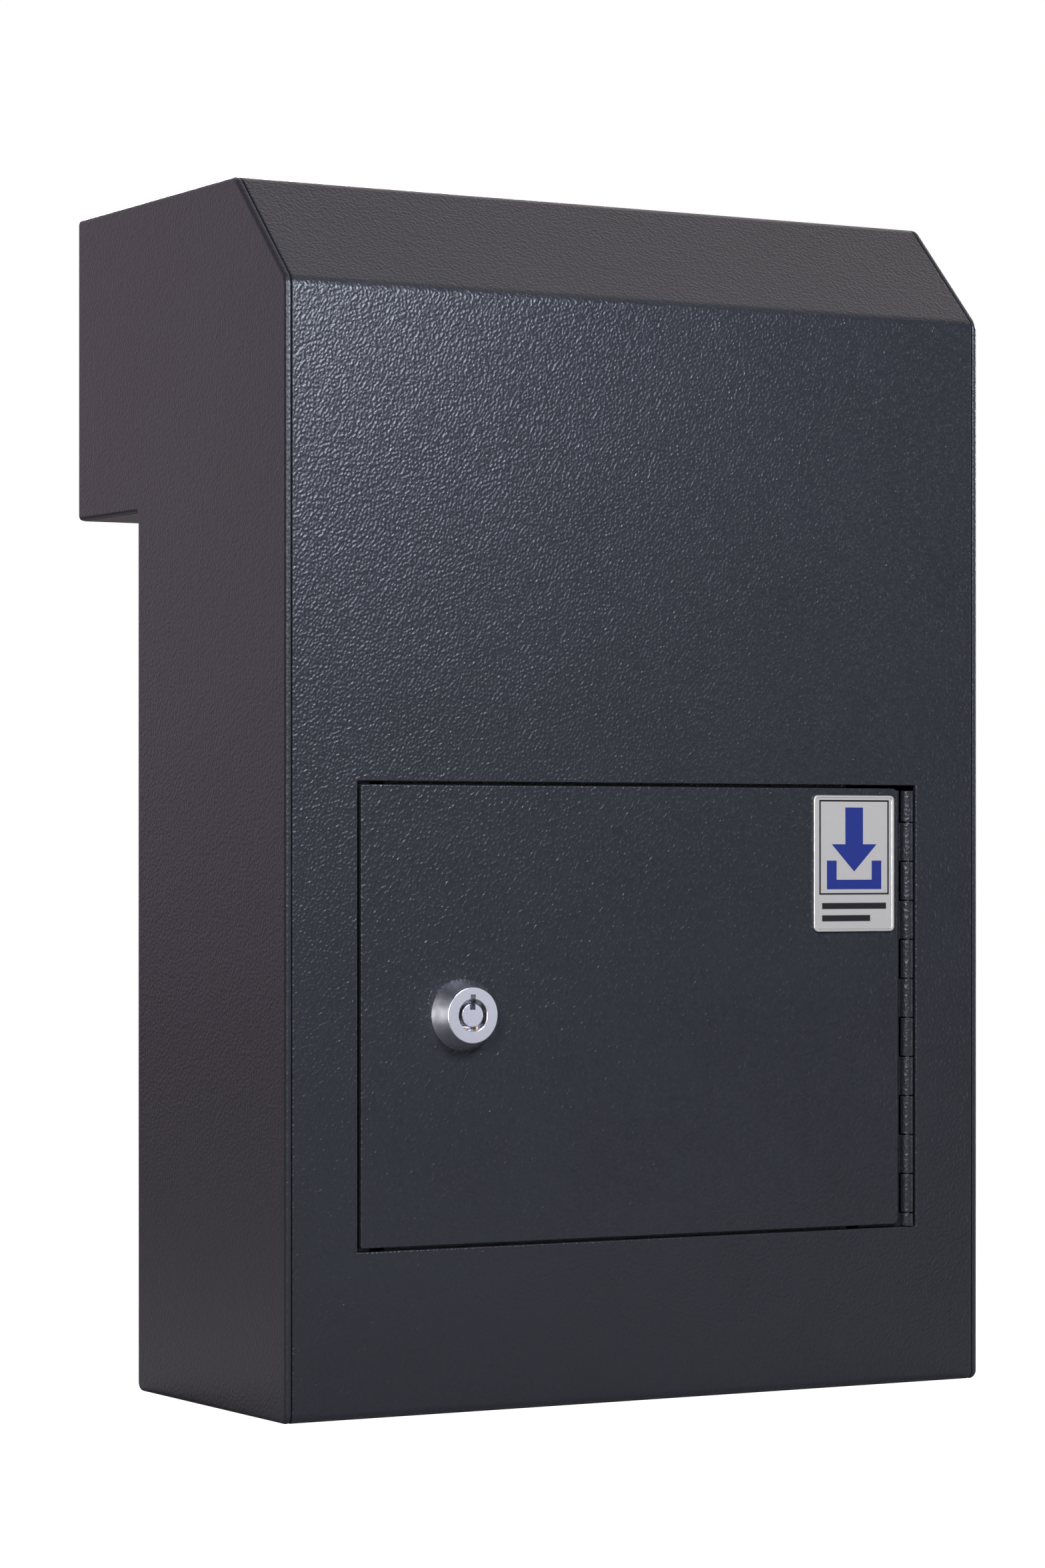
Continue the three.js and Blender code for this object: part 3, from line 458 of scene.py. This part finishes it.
# The coat levels out more on the sides and the rear
PAINT = powder_coat("charcoal_powder_coat", 0.11 * MM)
LEVEL_PAINT = powder_coat("levelled_powder_coat", 0.055 * MM)
CHROME = polished_chrome()
FACE = satin_metal("satin_lock_face", (0.60, 0.60, 0.67), (0.68, 0.68, 0.75), 0.24, (1, 1, 1))
ZINC = satin_metal("zinc_plating", (0.42, 0.44, 0.46), (0.56, 0.58, 0.60), 0.33, (1, 1, 1))
BRASS = satin_metal("brass_pins", (0.50, 0.34, 0.10), (0.62, 0.45, 0.16), 0.22, (1, 1, 1))
STEEL = satin_metal("drawn_steel", (0.30, 0.31, 0.33), (0.40, 0.41, 0.43), 0.32, (6, 6, 1))
SILVER = satin_metal("brushed_plate", (0.56, 0.54, 0.505), (0.66, 0.64, 0.60), 0.36, (10, 1, 1))
BLUE_INK = ink("blue_ink", (0.013, 0.026, 0.16))
BLACK_INK = ink("black_ink", (0.012, 0.012, 0.014))

# The bright pieces that have lamps of their own
METAL = []


def finish_piece(obj, body, material, slot, *nodes_replaced):
    """Gives a piece its material and its body, and hides the CAD nodes it stands for; the slot is not
    used.
    """
    obj.data.materials.clear()
    obj.data.materials.append(material)
    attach(obj, body)
    if nodes_replaced:
        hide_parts(*nodes_replaced)
    return obj


# ------------------------------------------------------------------------ the casing

def facing_side(u, v, w):
    return Vector((w, u, v))


def facing_front(u, v, w):
    return Vector((u, w, v))


def side_outline():
    return rounded([
        (FRONT, side_lo.z, BOTTOM_FOLD_R),
        (LOWER_REAR, side_lo.z, FOOT_CORNER_R),
        (LOWER_REAR, CHUTE_UNDERSIDE, INNER_CORNER_R),
        (REAR, CHUTE_UNDERSIDE, REAR_CORNER_R),
        (REAR, TOP, REAR_CORNER_R),
        (FRONT + SLOPE, TOP, FRONT_FOLD_R),
        (FRONT, TOP - SLOPE, FRONT_FOLD_R),
    ])


def side_panels():
    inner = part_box("side_panel_right")[0].x
    right = plate(
        "side_plate_right", [side_outline()], facing_side, inner, HALF_WIDTH, SEAM_EDGE_R, SIDE_EDGE_R, 5
    )
    finish_piece(right, "box", LEVEL_PAINT, "charcoal_paint", "side_panel_right")
    left = plate(
        "side_plate_left", [side_outline()], facing_side, -HALF_WIDTH, -inner, SIDE_EDGE_R, SEAM_EDGE_R, 5
    )
    finish_piece(left, "box", LEVEL_PAINT, "charcoal_paint", "side_panel_left")


def wrap_profile():
    """The folded sheet's outer line from the rear of the bottom to the rear of the top,
    as (y, z) points, with stops at the opening's edges."""
    corners = rounded([
        (LOWER_REAR, wrap_lo.z, 0),
        (FRONT, wrap_lo.z, BOTTOM_FOLD_R),
        (FRONT, TOP - SLOPE, FRONT_FOLD_R),
        (FRONT + SLOPE, TOP, FRONT_FOLD_R),
        (REAR, TOP, 0),
    ], 12)
    profile = []
    for i, point in enumerate(corners):
        profile.append(point)
        following = corners[i + 1] if i + 1 < len(corners) else point
        if point.y < OPENING_BOTTOM and following.y > OPENING_TOP:
            profile.append(Vector((FRONT, OPENING_BOTTOM)))
            profile.append(Vector((FRONT, OPENING_TOP)))
    return profile


def body_wrap():
    """The folded sheet: four columns of points along its line, thickened, its edges eased."""
    profile = wrap_profile()
    stations = [wrap_lo.x, OPENING_LEFT, OPENING_RIGHT, wrap_hi.x]
    vertices = [Vector((x, p.x, p.y)) for p in profile for x in stations]
    faces = []
    wide = len(stations)
    for row in range(len(profile) - 1):
        low, high = profile[row].y, profile[row + 1].y
        in_opening = abs(low - OPENING_BOTTOM) < 1e-6 and abs(high - OPENING_TOP) < 1e-6
        for column in range(wide - 1):
            if in_opening and column == 1:
                continue
            a = row * wide + column
            faces.append((a, a + 1, a + wide + 1, a + wide))
    mesh = bpy.data.meshes.new("front_and_top")
    mesh.from_pydata([tuple(v) for v in vertices], [], faces)
    obj = bpy.data.objects.new("front_and_top", mesh)
    bpy.context.scene.collection.objects.link(obj)
    thick = obj.modifiers.new("sheet", "SOLIDIFY")
    thick.thickness = SHEET
    thick.offset = -1
    thick.use_even_offset = True
    edges = obj.modifiers.new("edges", "BEVEL")
    edges.limit_method = "ANGLE"
    edges.angle_limit = math.radians(60)
    edges.width = SEAM_EDGE_R
    edges.segments = 4
    apply_modifiers(obj)
    shade(obj, FOLD_SHARP)
    finish_piece(obj, "box", PAINT, "charcoal_paint", "body_wrap")


def back_panel():
    outline = rectangle(back_lo.x, back_lo.z, back_hi.x, back_hi.z)
    holes = [
        round_hole((side * FIXING_HALF_SPACING, z), FIXING_HOLE_R, 40)
        for side in (-1, 1)
        for z in FIXING_ROWS
    ]
    obj = plate(
        "back_plate", [outline, *holes], facing_front, back_lo.y, back_hi.y, 0.3 * MM, 0.4 * MM
    )
    finish_piece(obj, "box", LEVEL_PAINT, "charcoal_paint", "back_panel")


def intake_plate():
    slot_low = floor_hi.z + SLOT_ABOVE_FLOOR
    slot_high = slot_low + SLOT_HEIGHT
    outline = rectangle(intake_lo.x, intake_lo.z, intake_hi.x, intake_hi.z)
    slot_hole = rectangle(
        -SLOT_HALF_WIDTH, slot_low, SLOT_HALF_WIDTH, slot_high, SLOT_CORNER_R, True, 8
    )
    obj = plate(
        "rear_plate", [outline, slot_hole], facing_front, intake_lo.y, intake_hi.y, 0.4 * MM, 0.5 * MM
    )
    finish_piece(obj, "box", LEVEL_PAINT, "charcoal_paint", "intake_plate")


# -------------------------------------------------------------------------- the door

def door_panel():
    outline = rounded([
        (door_lo.x, door_lo.z, DOOR_FREE_CORNER_R), (door_hi.x, door_lo.z, DOOR_CORNER_R),
        (door_hi.x, door_hi.z, DOOR_CORNER_R), (door_lo.x, door_hi.z, DOOR_FREE_CORNER_R),
    ])
    hole = round_hole((LOCK.x, LOCK.z), LOCK_HOLE_R, 64)
    obj = plate(
        "door_plate", [outline, hole], facing_front, door_lo.y, door_hi.y,
        DOOR_EDGE_R, DOOR_BACK_EDGE_R, 5
    )
    finish_piece(obj, "door", PAINT, "charcoal_paint", "door_panel")


# -------------------------------------------------------------------------- the hinge

KNUCKLE_R = 2.1 * MM
KNUCKLE_PITCH = 12.7 * MM
TOP_KNUCKLE = 10.4 * MM
FULL_KNUCKLES = 10
KNUCKLE_GAP = 0.3 * MM
LEAF_THICKNESS = 1.2 * MM
LEAF_WIDTH = 16 * MM
LEAF_EDGE_R = 0.2 * MM
KNUCKLE_BORE_R = 1 * MM
KNUCKLE_EDGE_R = 0.35 * MM
BORE_EDGE_R = 0.1 * MM
ROOT_START = 1.2 * MM
ROOT_LAP = 0.4 * MM
ROOT_EDGE_R = 0.1 * MM
HINGE_PIN_R = 0.75 * MM
HINGE_PIN_END_R = 0.4 * MM


def knuckle_spans():
    """The (low, high) heights of the knuckles, from the top one down."""
    top = leaf_hi.z
    spans = [(top - TOP_KNUCKLE, top)]
    for _ in range(FULL_KNUCKLES):
        high = spans[-1][0]
        spans.append((high - KNUCKLE_PITCH, high))
    spans.append((leaf_lo.z, spans[-1][0]))
    return spans


def knuckle(low, high):
    profile = rounded([
        (KNUCKLE_BORE_R, low, BORE_EDGE_R),
        (KNUCKLE_R, low, KNUCKLE_EDGE_R),
        (KNUCKLE_R, high, KNUCKLE_EDGE_R),
        (KNUCKLE_BORE_R, high, BORE_EDGE_R),
    ], 4)
    return lathe("knuckle", profile, HINGE, "Z", 40)


def hinge_leaf(name, side, first, body, node):
    """A leaf and every second knuckle; side is -1 for the door's leaf, 1 for the frame's."""
    leaf_back = HINGE.y + KNUCKLE_R
    leaf_front = leaf_back - LEAF_THICKNESS
    near, far = KNUCKLE_R + KNUCKLE_GAP, KNUCKLE_R + KNUCKLE_GAP + LEAF_WIDTH
    xs = sorted((HINGE.x + side * near, HINGE.x + side * far))
    strip_low = (xs[0], leaf_front, leaf_lo.z)
    strip_high = (xs[1], leaf_back, leaf_hi.z)
    parts = [block("strip", strip_low, strip_high, LEAF_EDGE_R)]
    for i, (low, high) in enumerate(knuckle_spans()):
        if i % 2 != first:
            continue
        low, high = low + KNUCKLE_GAP / 2, high - KNUCKLE_GAP / 2
        parts.append(knuckle(low, high))
        root = sorted((HINGE.x + side * ROOT_START, HINGE.x + side * (near + ROOT_LAP)))
        parts.append(block("root", (root[0], leaf_front, low), (root[1], leaf_back, high), ROOT_EDGE_R))
    finish_piece(join(name, parts), body, PAINT, "charcoal_paint", node)


def hinge_pin():
    profile = rounded([
        (0, pin_lo.z, 0),
        (HINGE_PIN_R, pin_lo.z, HINGE_PIN_END_R),
        (HINGE_PIN_R, pin_hi.z, HINGE_PIN_END_R),
        (0, pin_hi.z, 0),
    ], 5)
    obj = lathe("pin_of_hinge", profile, HINGE, "Z", 32)
    finish_piece(obj, "box", STEEL, "bare_steel", "hinge_pin")


# --------------------------------------------------------------------------- the lock

BEZEL_R = 11.1 * MM
BEZEL_RIM = 0.3 * MM
BEZEL_FACE_R = 8.6 * MM
BARREL_R = 9.5 * MM
BARREL_FLAT = 8.2 * MM
GROOVE_R = 4.95 * MM
GROOVE_DEPTH = 6 * MM
POST_R = 3.7 * MM
ROTOR_R = 6.8 * MM
FACE_NOTCH = 1.75 * MM
FACE_NOTCH_REACH = 1.45 * MM
POST_NOTCH = 1.9 * MM
POST_NOTCH_REACH = 2 * MM
NOTCH_DEPTH = 3 * MM
NOTCH_START = 3 * MM
BEZEL_HEIGHT = 6.7 * MM
BARREL_LENGTH = 14.4 * MM
THREAD_START = 3 * MM
THREAD_PITCH = 1 * MM
THREAD_DEPTH = 0.35 * MM
STUD_R = 3 * MM
STUD_END_R = 0.4 * MM
DRIVE_HALF = 4 * MM
PIN_R = 0.45 * MM
FACE_EDGE_R = 0.25 * MM
CONE_EDGE_R = 0.3 * MM
FINE_EDGE_R = 0.1 * MM
RUNNING_GAP = 0.3 * MM
CUT_OVERRUN = 1 * MM
LOCK_FRONT = body_lo.y
BEZEL_BACK = LOCK_FRONT + BEZEL_HEIGHT
BARREL_END = BEZEL_BACK + BARREL_LENGTH
ROTOR_FRONT = LOCK_FRONT + GROOVE_DEPTH + RUNNING_GAP


def lock_shell_profile():
    """From the key groove over the face, the cone and the threaded barrel to the bore."""
    bore = ROTOR_R + RUNNING_GAP
    profile = rounded([
        (GROOVE_R, LOCK_FRONT + GROOVE_DEPTH, 0),
        (GROOVE_R, LOCK_FRONT, FACE_EDGE_R),
        (BEZEL_FACE_R, LOCK_FRONT, CONE_EDGE_R),
        (BEZEL_R, BEZEL_BACK - BEZEL_RIM, FINE_EDGE_R),
        (BEZEL_R, BEZEL_BACK, FINE_EDGE_R),
        (BARREL_R - THREAD_DEPTH, BEZEL_BACK, 0),
    ], 5)
    place = BEZEL_BACK + THREAD_START
    while place + THREAD_PITCH < BARREL_END:
        profile.append((BARREL_R - THREAD_DEPTH, place))
        profile.append((BARREL_R, place + THREAD_PITCH / 2))
        place += THREAD_PITCH
    profile.append((BARREL_R - THREAD_DEPTH, BARREL_END))
    profile.append((bore, BARREL_END))
    profile.append((bore, LOCK_FRONT + GROOVE_DEPTH))
    return profile


def lock_body():
    """The turned shell, with two flats on its barrel and a notch in its face."""
    shell = lathe("lock_shell", lock_shell_profile(), LOCK, "Y", 96)
    far = 2 * BEZEL_R
    cutters = []
    for side in (-1, 1):
        xs = sorted((LOCK.x + side * BARREL_FLAT, LOCK.x + side * far))
        low = (xs[0], BEZEL_BACK + 0.01 * MM, LOCK.z - far)
        high = (xs[1], BARREL_END + CUT_OVERRUN, LOCK.z + far)
        cutters.append(block("flat", low, high, 0))
    cutters.append(block(
        "notch",
        (LOCK.x - FACE_NOTCH / 2, LOCK_FRONT - CUT_OVERRUN, LOCK.z + NOTCH_START),
        (LOCK.x + FACE_NOTCH / 2, LOCK_FRONT + NOTCH_DEPTH, LOCK.z + GROOVE_R + FACE_NOTCH_REACH),
        0,
    ))
    cut(shell, *cutters)
    METAL.append(finish_piece(shell, "door", CHROME, "chrome", "lock_body"))


def lock_plug():
    """The part that turns: the key post, the rotor, the square and the stud for the cam."""
    post_front = LOCK_FRONT + RUNNING_GAP
    rotor_end = BARREL_END + RUNNING_GAP
    profile = rounded([
        (0, post_front, 0),
        (POST_R, post_front, FACE_EDGE_R),
        (POST_R, ROTOR_FRONT, 0),
        (ROTOR_R, ROTOR_FRONT, FINE_EDGE_R),
        (ROTOR_R, rotor_end, FINE_EDGE_R),
        (STUD_R, rotor_end, 0),
        (STUD_R, plug_end, STUD_END_R),
        (0, plug_end, 0),
    ], 4)
    plug = lathe("lock_rotor", profile, LOCK, "Y", 64)
    notch = block(
        "notch",
        (LOCK.x - POST_NOTCH / 2, LOCK_FRONT - CUT_OVERRUN, LOCK.z + POST_R - POST_NOTCH_REACH),
        (LOCK.x + POST_NOTCH / 2, ROTOR_FRONT, LOCK.z + POST_R + CUT_OVERRUN),
        0,
    )
    cut(plug, notch)
    square = block(
        "drive",
        (LOCK.x - DRIVE_HALF, rotor_end - CUT_OVERRUN, LOCK.z - DRIVE_HALF),
        (LOCK.x + DRIVE_HALF, cam_back - RUNNING_GAP, LOCK.z + DRIVE_HALF),
        0.2 * MM,
    )
    rotor = join("lock_rotor", [plug, square])
    METAL.append(finish_piece(rotor, "lock_cylinder", FACE, "satin_steel", "lock_plug"))


def lock_pins():
    for i in range(1, 8):
        node = f"lock_pin_{i}"
        low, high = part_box(node)
        centre = Vector(((low.x + high.x) / 2, 0, (low.z + high.z) / 2))
        profile = rounded([
            (0, low.y, 0), (PIN_R, low.y, 0.2 * MM), (PIN_R, high.y, FINE_EDGE_R), (0, high.y, 0),
        ], 4)
        obj = lathe(f"tumbler_{i}", profile, centre, "Y", 24)
        METAL.append(finish_piece(obj, "lock_cylinder", BRASS, "brass", node))


# --------------------------------------------------------------------- the name plate

PLATE_STEP = 0.25 * MM
PLATE_RIM = 0.9 * MM
PLATE_CORNER_R = 1.5 * MM
PLATE_WINDOW_R = 0.8 * MM
INK_SUNK = 0.04 * MM
INK_PROUD = 0.02 * MM
BORDER_LINE = 0.55 * MM
BORDER_LEFT, BORDER_RIGHT = 0.065, 0.935
BORDER_LOW, BORDER_HIGH = 0.27, 0.965


def plate_spot(across, up):
    """A place on the name plate, as shares of its width and height."""
    return (
        plate_lo.x + across * (plate_hi.x - plate_lo.x),
        plate_lo.z + up * (plate_hi.z - plate_lo.z),
    )


def plate_outline(*spots):
    return [Vector(plate_spot(across, up)) for across, up in spots]


def plate_rectangle(left, low, right, high):
    return rectangle(*plate_spot(left, low), *plate_spot(right, high))


def printed(name, material, *shapes):
    """A film of ink on the recessed face of the name plate. Each shape is a list of loops."""
    face = plate_lo.y + PLATE_STEP
    films = [
        plate(name, loops, facing_front, face - INK_SUNK, face + INK_PROUD, 0, 0, 1)
        for loops in shapes
    ]
    finish_piece(join(name, films), "door", material, "plate_silver")


def name_plate():
    """The silver plate: a flat base inside a raised rim."""
    x0, x1, z0, z1 = plate_lo.x, plate_hi.x, plate_lo.z, plate_hi.z
    rim = PLATE_RIM
    outline = rectangle(x0, z0, x1, z1, PLATE_CORNER_R)
    window = rectangle(x0 + rim, z0 + rim, x1 - rim, z1 - rim, PLATE_WINDOW_R, True)
    base = plate(
        "label_base", [outline], facing_front,
        plate_lo.y + PLATE_STEP, plate_hi.y, 0.1 * MM, 0.1 * MM,
    )
    edge = plate(
        "label_rim", [outline, window], facing_front,
        plate_lo.y, plate_lo.y + 2 * PLATE_STEP, 0.2 * MM, 0.02 * MM,
    )
    label = join("label", [base, edge])
    METAL.append(finish_piece(label, "door", SILVER, "plate_silver", "name_plate"))


def plate_frame():
    """The ruled border round the upper part of the plate."""
    outer = plate_rectangle(BORDER_LEFT, BORDER_LOW, BORDER_RIGHT, BORDER_HIGH)
    left, low = plate_spot(BORDER_LEFT, BORDER_LOW)
    right, high = plate_spot(BORDER_RIGHT, BORDER_HIGH)
    line = BORDER_LINE
    inner = rectangle(left + line, low + line, right - line, high - line, 0, True)
    printed("label_border", BLACK_INK, [outer, inner])


def plate_pictogram():
    """A plain sign of our own: an arrow going down into a tray."""
    arrow = plate_outline(
        (0.39, 0.91), (0.39, 0.64), (0.22, 0.64), (0.5, 0.44), (0.78, 0.64), (0.61, 0.64), (0.61, 0.91)
    )
    tray = plate_outline(
        (0.16, 0.52), (0.16, 0.31), (0.84, 0.31), (0.84, 0.52),
        (0.72, 0.52), (0.72, 0.38), (0.28, 0.38), (0.28, 0.52),
    )
    printed("label_pictogram", BLUE_INK, [arrow], [tray])


def plate_rules():
    """Two plain dark bars where such a plate carries its lines of print."""
    upper = plate_rectangle(0.1, 0.165, 0.9, 0.21)
    lower = plate_rectangle(0.1, 0.075, 0.7, 0.12)
    printed("label_rules", BLACK_INK, [upper], [lower])


# --------------------------------------------------- sub-parts that keep their CAD shape

def dress_cad_nodes():
    """The sub-parts that keep their CAD shape get their finishes and softened edges."""
    finishes = {
        PAINT: ["chute_floor", "anti_fish_baffle", "door_stop_top", "door_stop_bottom", "latch_angle",
                "intake_flap", "flap_bracket_left", "flap_bracket_right"],
        ZINC: ["lock_spur_washer", "lock_nut", "cam_stop_washer", "lock_cam", "cam_washer", "cam_nut"],
        STEEL: ["flap_rod", "rod_clip_left", "rod_clip_right"],
    }
    for material, names in finishes.items():
        for name in names:
            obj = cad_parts[name]
            obj.data.materials.clear()
            obj.data.materials.append(material)
            edges = obj.modifiers.new("edges", "BEVEL")
            edges.limit_method = "ANGLE"
            edges.angle_limit = math.radians(50)
            edges.width = 0.15 * MM
            edges.segments = 2
            shade(obj, FOLD_SHARP)


# ------------------------------------------------------------------- camera and stage

# The lens and sensor are in millimetres, and the shift is a share of the frame's longer side
LENS = 107.2
SENSOR = 36
EYE = (-0.7603, FRONT - 1.2588, 0.1723)
HEADING = 0.517
SHIFT = (-0.0005527211, 0.04447279)

# How bright the room is for lighting, at the viewer's end and behind the object
ROOM_FRONT = 0.0
ROOM_REAR = 0.68

FLOOR_REACH = 4
FLOOR_SHADE = 0.3
FLOOR_BRIGHTNESS = 0.97
FILL_SPREAD = math.radians(36)
MIDDLE = (0, FRONT, 0.22)


def camera():
    """The photograph's viewpoint: level, well to the left, with a long lens."""
    data = bpy.data.cameras.new("camera")
    data.lens = LENS
    data.sensor_width = SENSOR
    data.shift_x, data.shift_y = SHIFT
    data.clip_start = 0.01
    data.clip_end = 50
    obj = bpy.data.objects.new("camera", data)
    bpy.context.scene.collection.objects.link(obj)
    obj.location = EYE
    obj.rotation_euler = (math.pi / 2, 0, -HEADING)
    bpy.context.scene.camera = obj


def area_light(name, location, target, size, power, colour):
    """A soft box that lights the object but isn't seen itself."""
    data = bpy.data.lights.new(name, "AREA")
    data.shape = "RECTANGLE"
    data.size, data.size_y = size
    data.energy = power
    data.color = colour
    obj = bpy.data.objects.new(name, data)
    bpy.context.scene.collection.objects.link(obj)
    obj.location = location
    obj.rotation_euler = (Vector(target) - Vector(location)).to_track_quat("-Z", "Y").to_euler()
    obj.visible_camera = False
    return obj


def fill_lights():
    """Two narrow lamps that show the back and the right side and spill little elsewhere."""
    lamps = (
        area_light("rear", (0.7, 1.9, 0.8), (0, REAR, 0.24), (0.7, 0.7), 2.6, (1, 0.98, 1)),
        area_light(
            "far_right", (2.0, 0.4, 0.9), (HALF_WIDTH, 0, 0.22), (0.7, 0.7), 2.2, (1, 0.98, 1.02)
        ),
    )
    for lamp in lamps:
        lamp.data.spread = FILL_SPREAD


def metal_cards(pieces):
    """Two lamps, in place of reflector cards, that light only the bright metal."""
    bright = bpy.data.collections.new("bright_metal")
    for piece in pieces:
        bright.objects.link(piece)
    cards = (
        area_light("front_card", (0.34, FRONT - 0.55, 0.2), LOCK, (0.5, 0.34), 0.46, (0.95, 0.97, 1.06)),
        area_light("side_card", (-0.62, FRONT - 0.08, 0.14), LOCK, (0.16, 0.3), 6.0, (1, 0.99, 1.02)),
    )
    for card in cards:
        card.light_linking.receiver_collection = bright


def studio_walls():
    """White to look at; for lighting, bright behind the object and dark in front of it."""
    world = bpy.data.worlds.new("studio")
    world.use_nodes = True
    bpy.context.scene.world = world
    nodes, links = world.node_tree.nodes, world.node_tree.links
    direction = nodes.new("ShaderNodeTexCoord")
    split = nodes.new("ShaderNodeSeparateXYZ")
    links.new(direction.outputs["Generated"], split.inputs["Vector"])
    room = nodes["Background"]
    room.inputs["Color"].default_value = (1.0, 0.82, 1.0, 1)
    strength = remap(nodes, links, split.outputs["Y"], 0.1, 0.8, ROOM_FRONT, ROOM_REAR)
    links.new(strength, room.inputs["Strength"])
    seen = nodes.new("ShaderNodeBackground")
    seen.inputs["Color"].default_value = (1, 1, 1, 1)
    seen.inputs["Strength"].default_value = 1.0
    ray = nodes.new("ShaderNodeLightPath")
    mix = nodes.new("ShaderNodeMixShader")
    links.new(ray.outputs["Is Camera Ray"], mix.inputs["Fac"])
    links.new(room.outputs["Background"], mix.inputs[1])
    links.new(seen.outputs["Background"], mix.inputs[2])
    links.new(mix.outputs["Shader"], nodes["World Output"].inputs["Surface"])


def studio_floor():
    """A pale floor that looks evenly white but lights the object only by what it reflects."""
    mesh = bpy.data.meshes.new("floor")
    signs = ((-1, -1), (1, -1), (1, 1), (-1, 1))
    corners = [(x * FLOOR_REACH, y * FLOOR_REACH, 0) for x, y in signs]
    mesh.from_pydata(corners, [], [(0, 1, 2, 3)])
    floor = bpy.data.objects.new("floor", mesh)
    bpy.context.scene.collection.objects.link(floor)
    material, nodes, links, shader = new_material("pale_floor")
    shader.inputs["Base Color"].default_value = (FLOOR_SHADE, FLOOR_SHADE, FLOOR_SHADE, 1)
    shader.inputs["Roughness"].default_value = 0.8
    shader.inputs["Emission Color"].default_value = (1, 1, 1, 1)
    ray = nodes.new("ShaderNodeLightPath")
    glow = remap(nodes, links, ray.outputs["Is Camera Ray"], 0, 1, 0, FLOOR_BRIGHTNESS)
    links.new(glow, shader.inputs["Emission Strength"])
    mesh.materials.append(material)


def stage():
    """The studio: a white surround, then the lamps that make the photograph's shading."""
    bpy.context.scene.view_settings.view_transform = "Standard"
    studio_walls()
    studio_floor()
    area_light("key", (-0.03, FRONT - 0.51, 0.51), MIDDLE, (0.2, 0.16), 4.2, (0.93, 1.0, 1.21))
    area_light("above", (0.55, 0.5, 1.6), (0, 0, 0.35), (2.6, 1.8), 8.0, (1.14, 1.02, 0.95))
    area_light("rim", (-0.95, FRONT - 0.95, 0.65), MIDDLE, (0.2, 0.5), 11.0, (1, 1, 1.04))
    area_light("right", (0.9, FRONT - 0.36, 0.3), MIDDLE, (0.12, 0.6), 1.0, (1, 1, 1.1))
    fill_lights()
    metal_cards(METAL)


def build():
    """The camera and every piece that Blender makes."""
    camera()
    side_panels()
    body_wrap()
    back_panel()
    intake_plate()
    door_panel()
    hinge_leaf("hinge_door_side", -1, 1, "door", "hinge_leaf_door")
    hinge_leaf("hinge_frame_side", 1, 0, "box", "hinge_leaf_frame")
    hinge_pin()
    lock_body()
    lock_plug()
    lock_pins()
    name_plate()
    plate_frame()
    plate_pictogram()
    plate_rules()


build()
dress_cad_nodes()
stage()
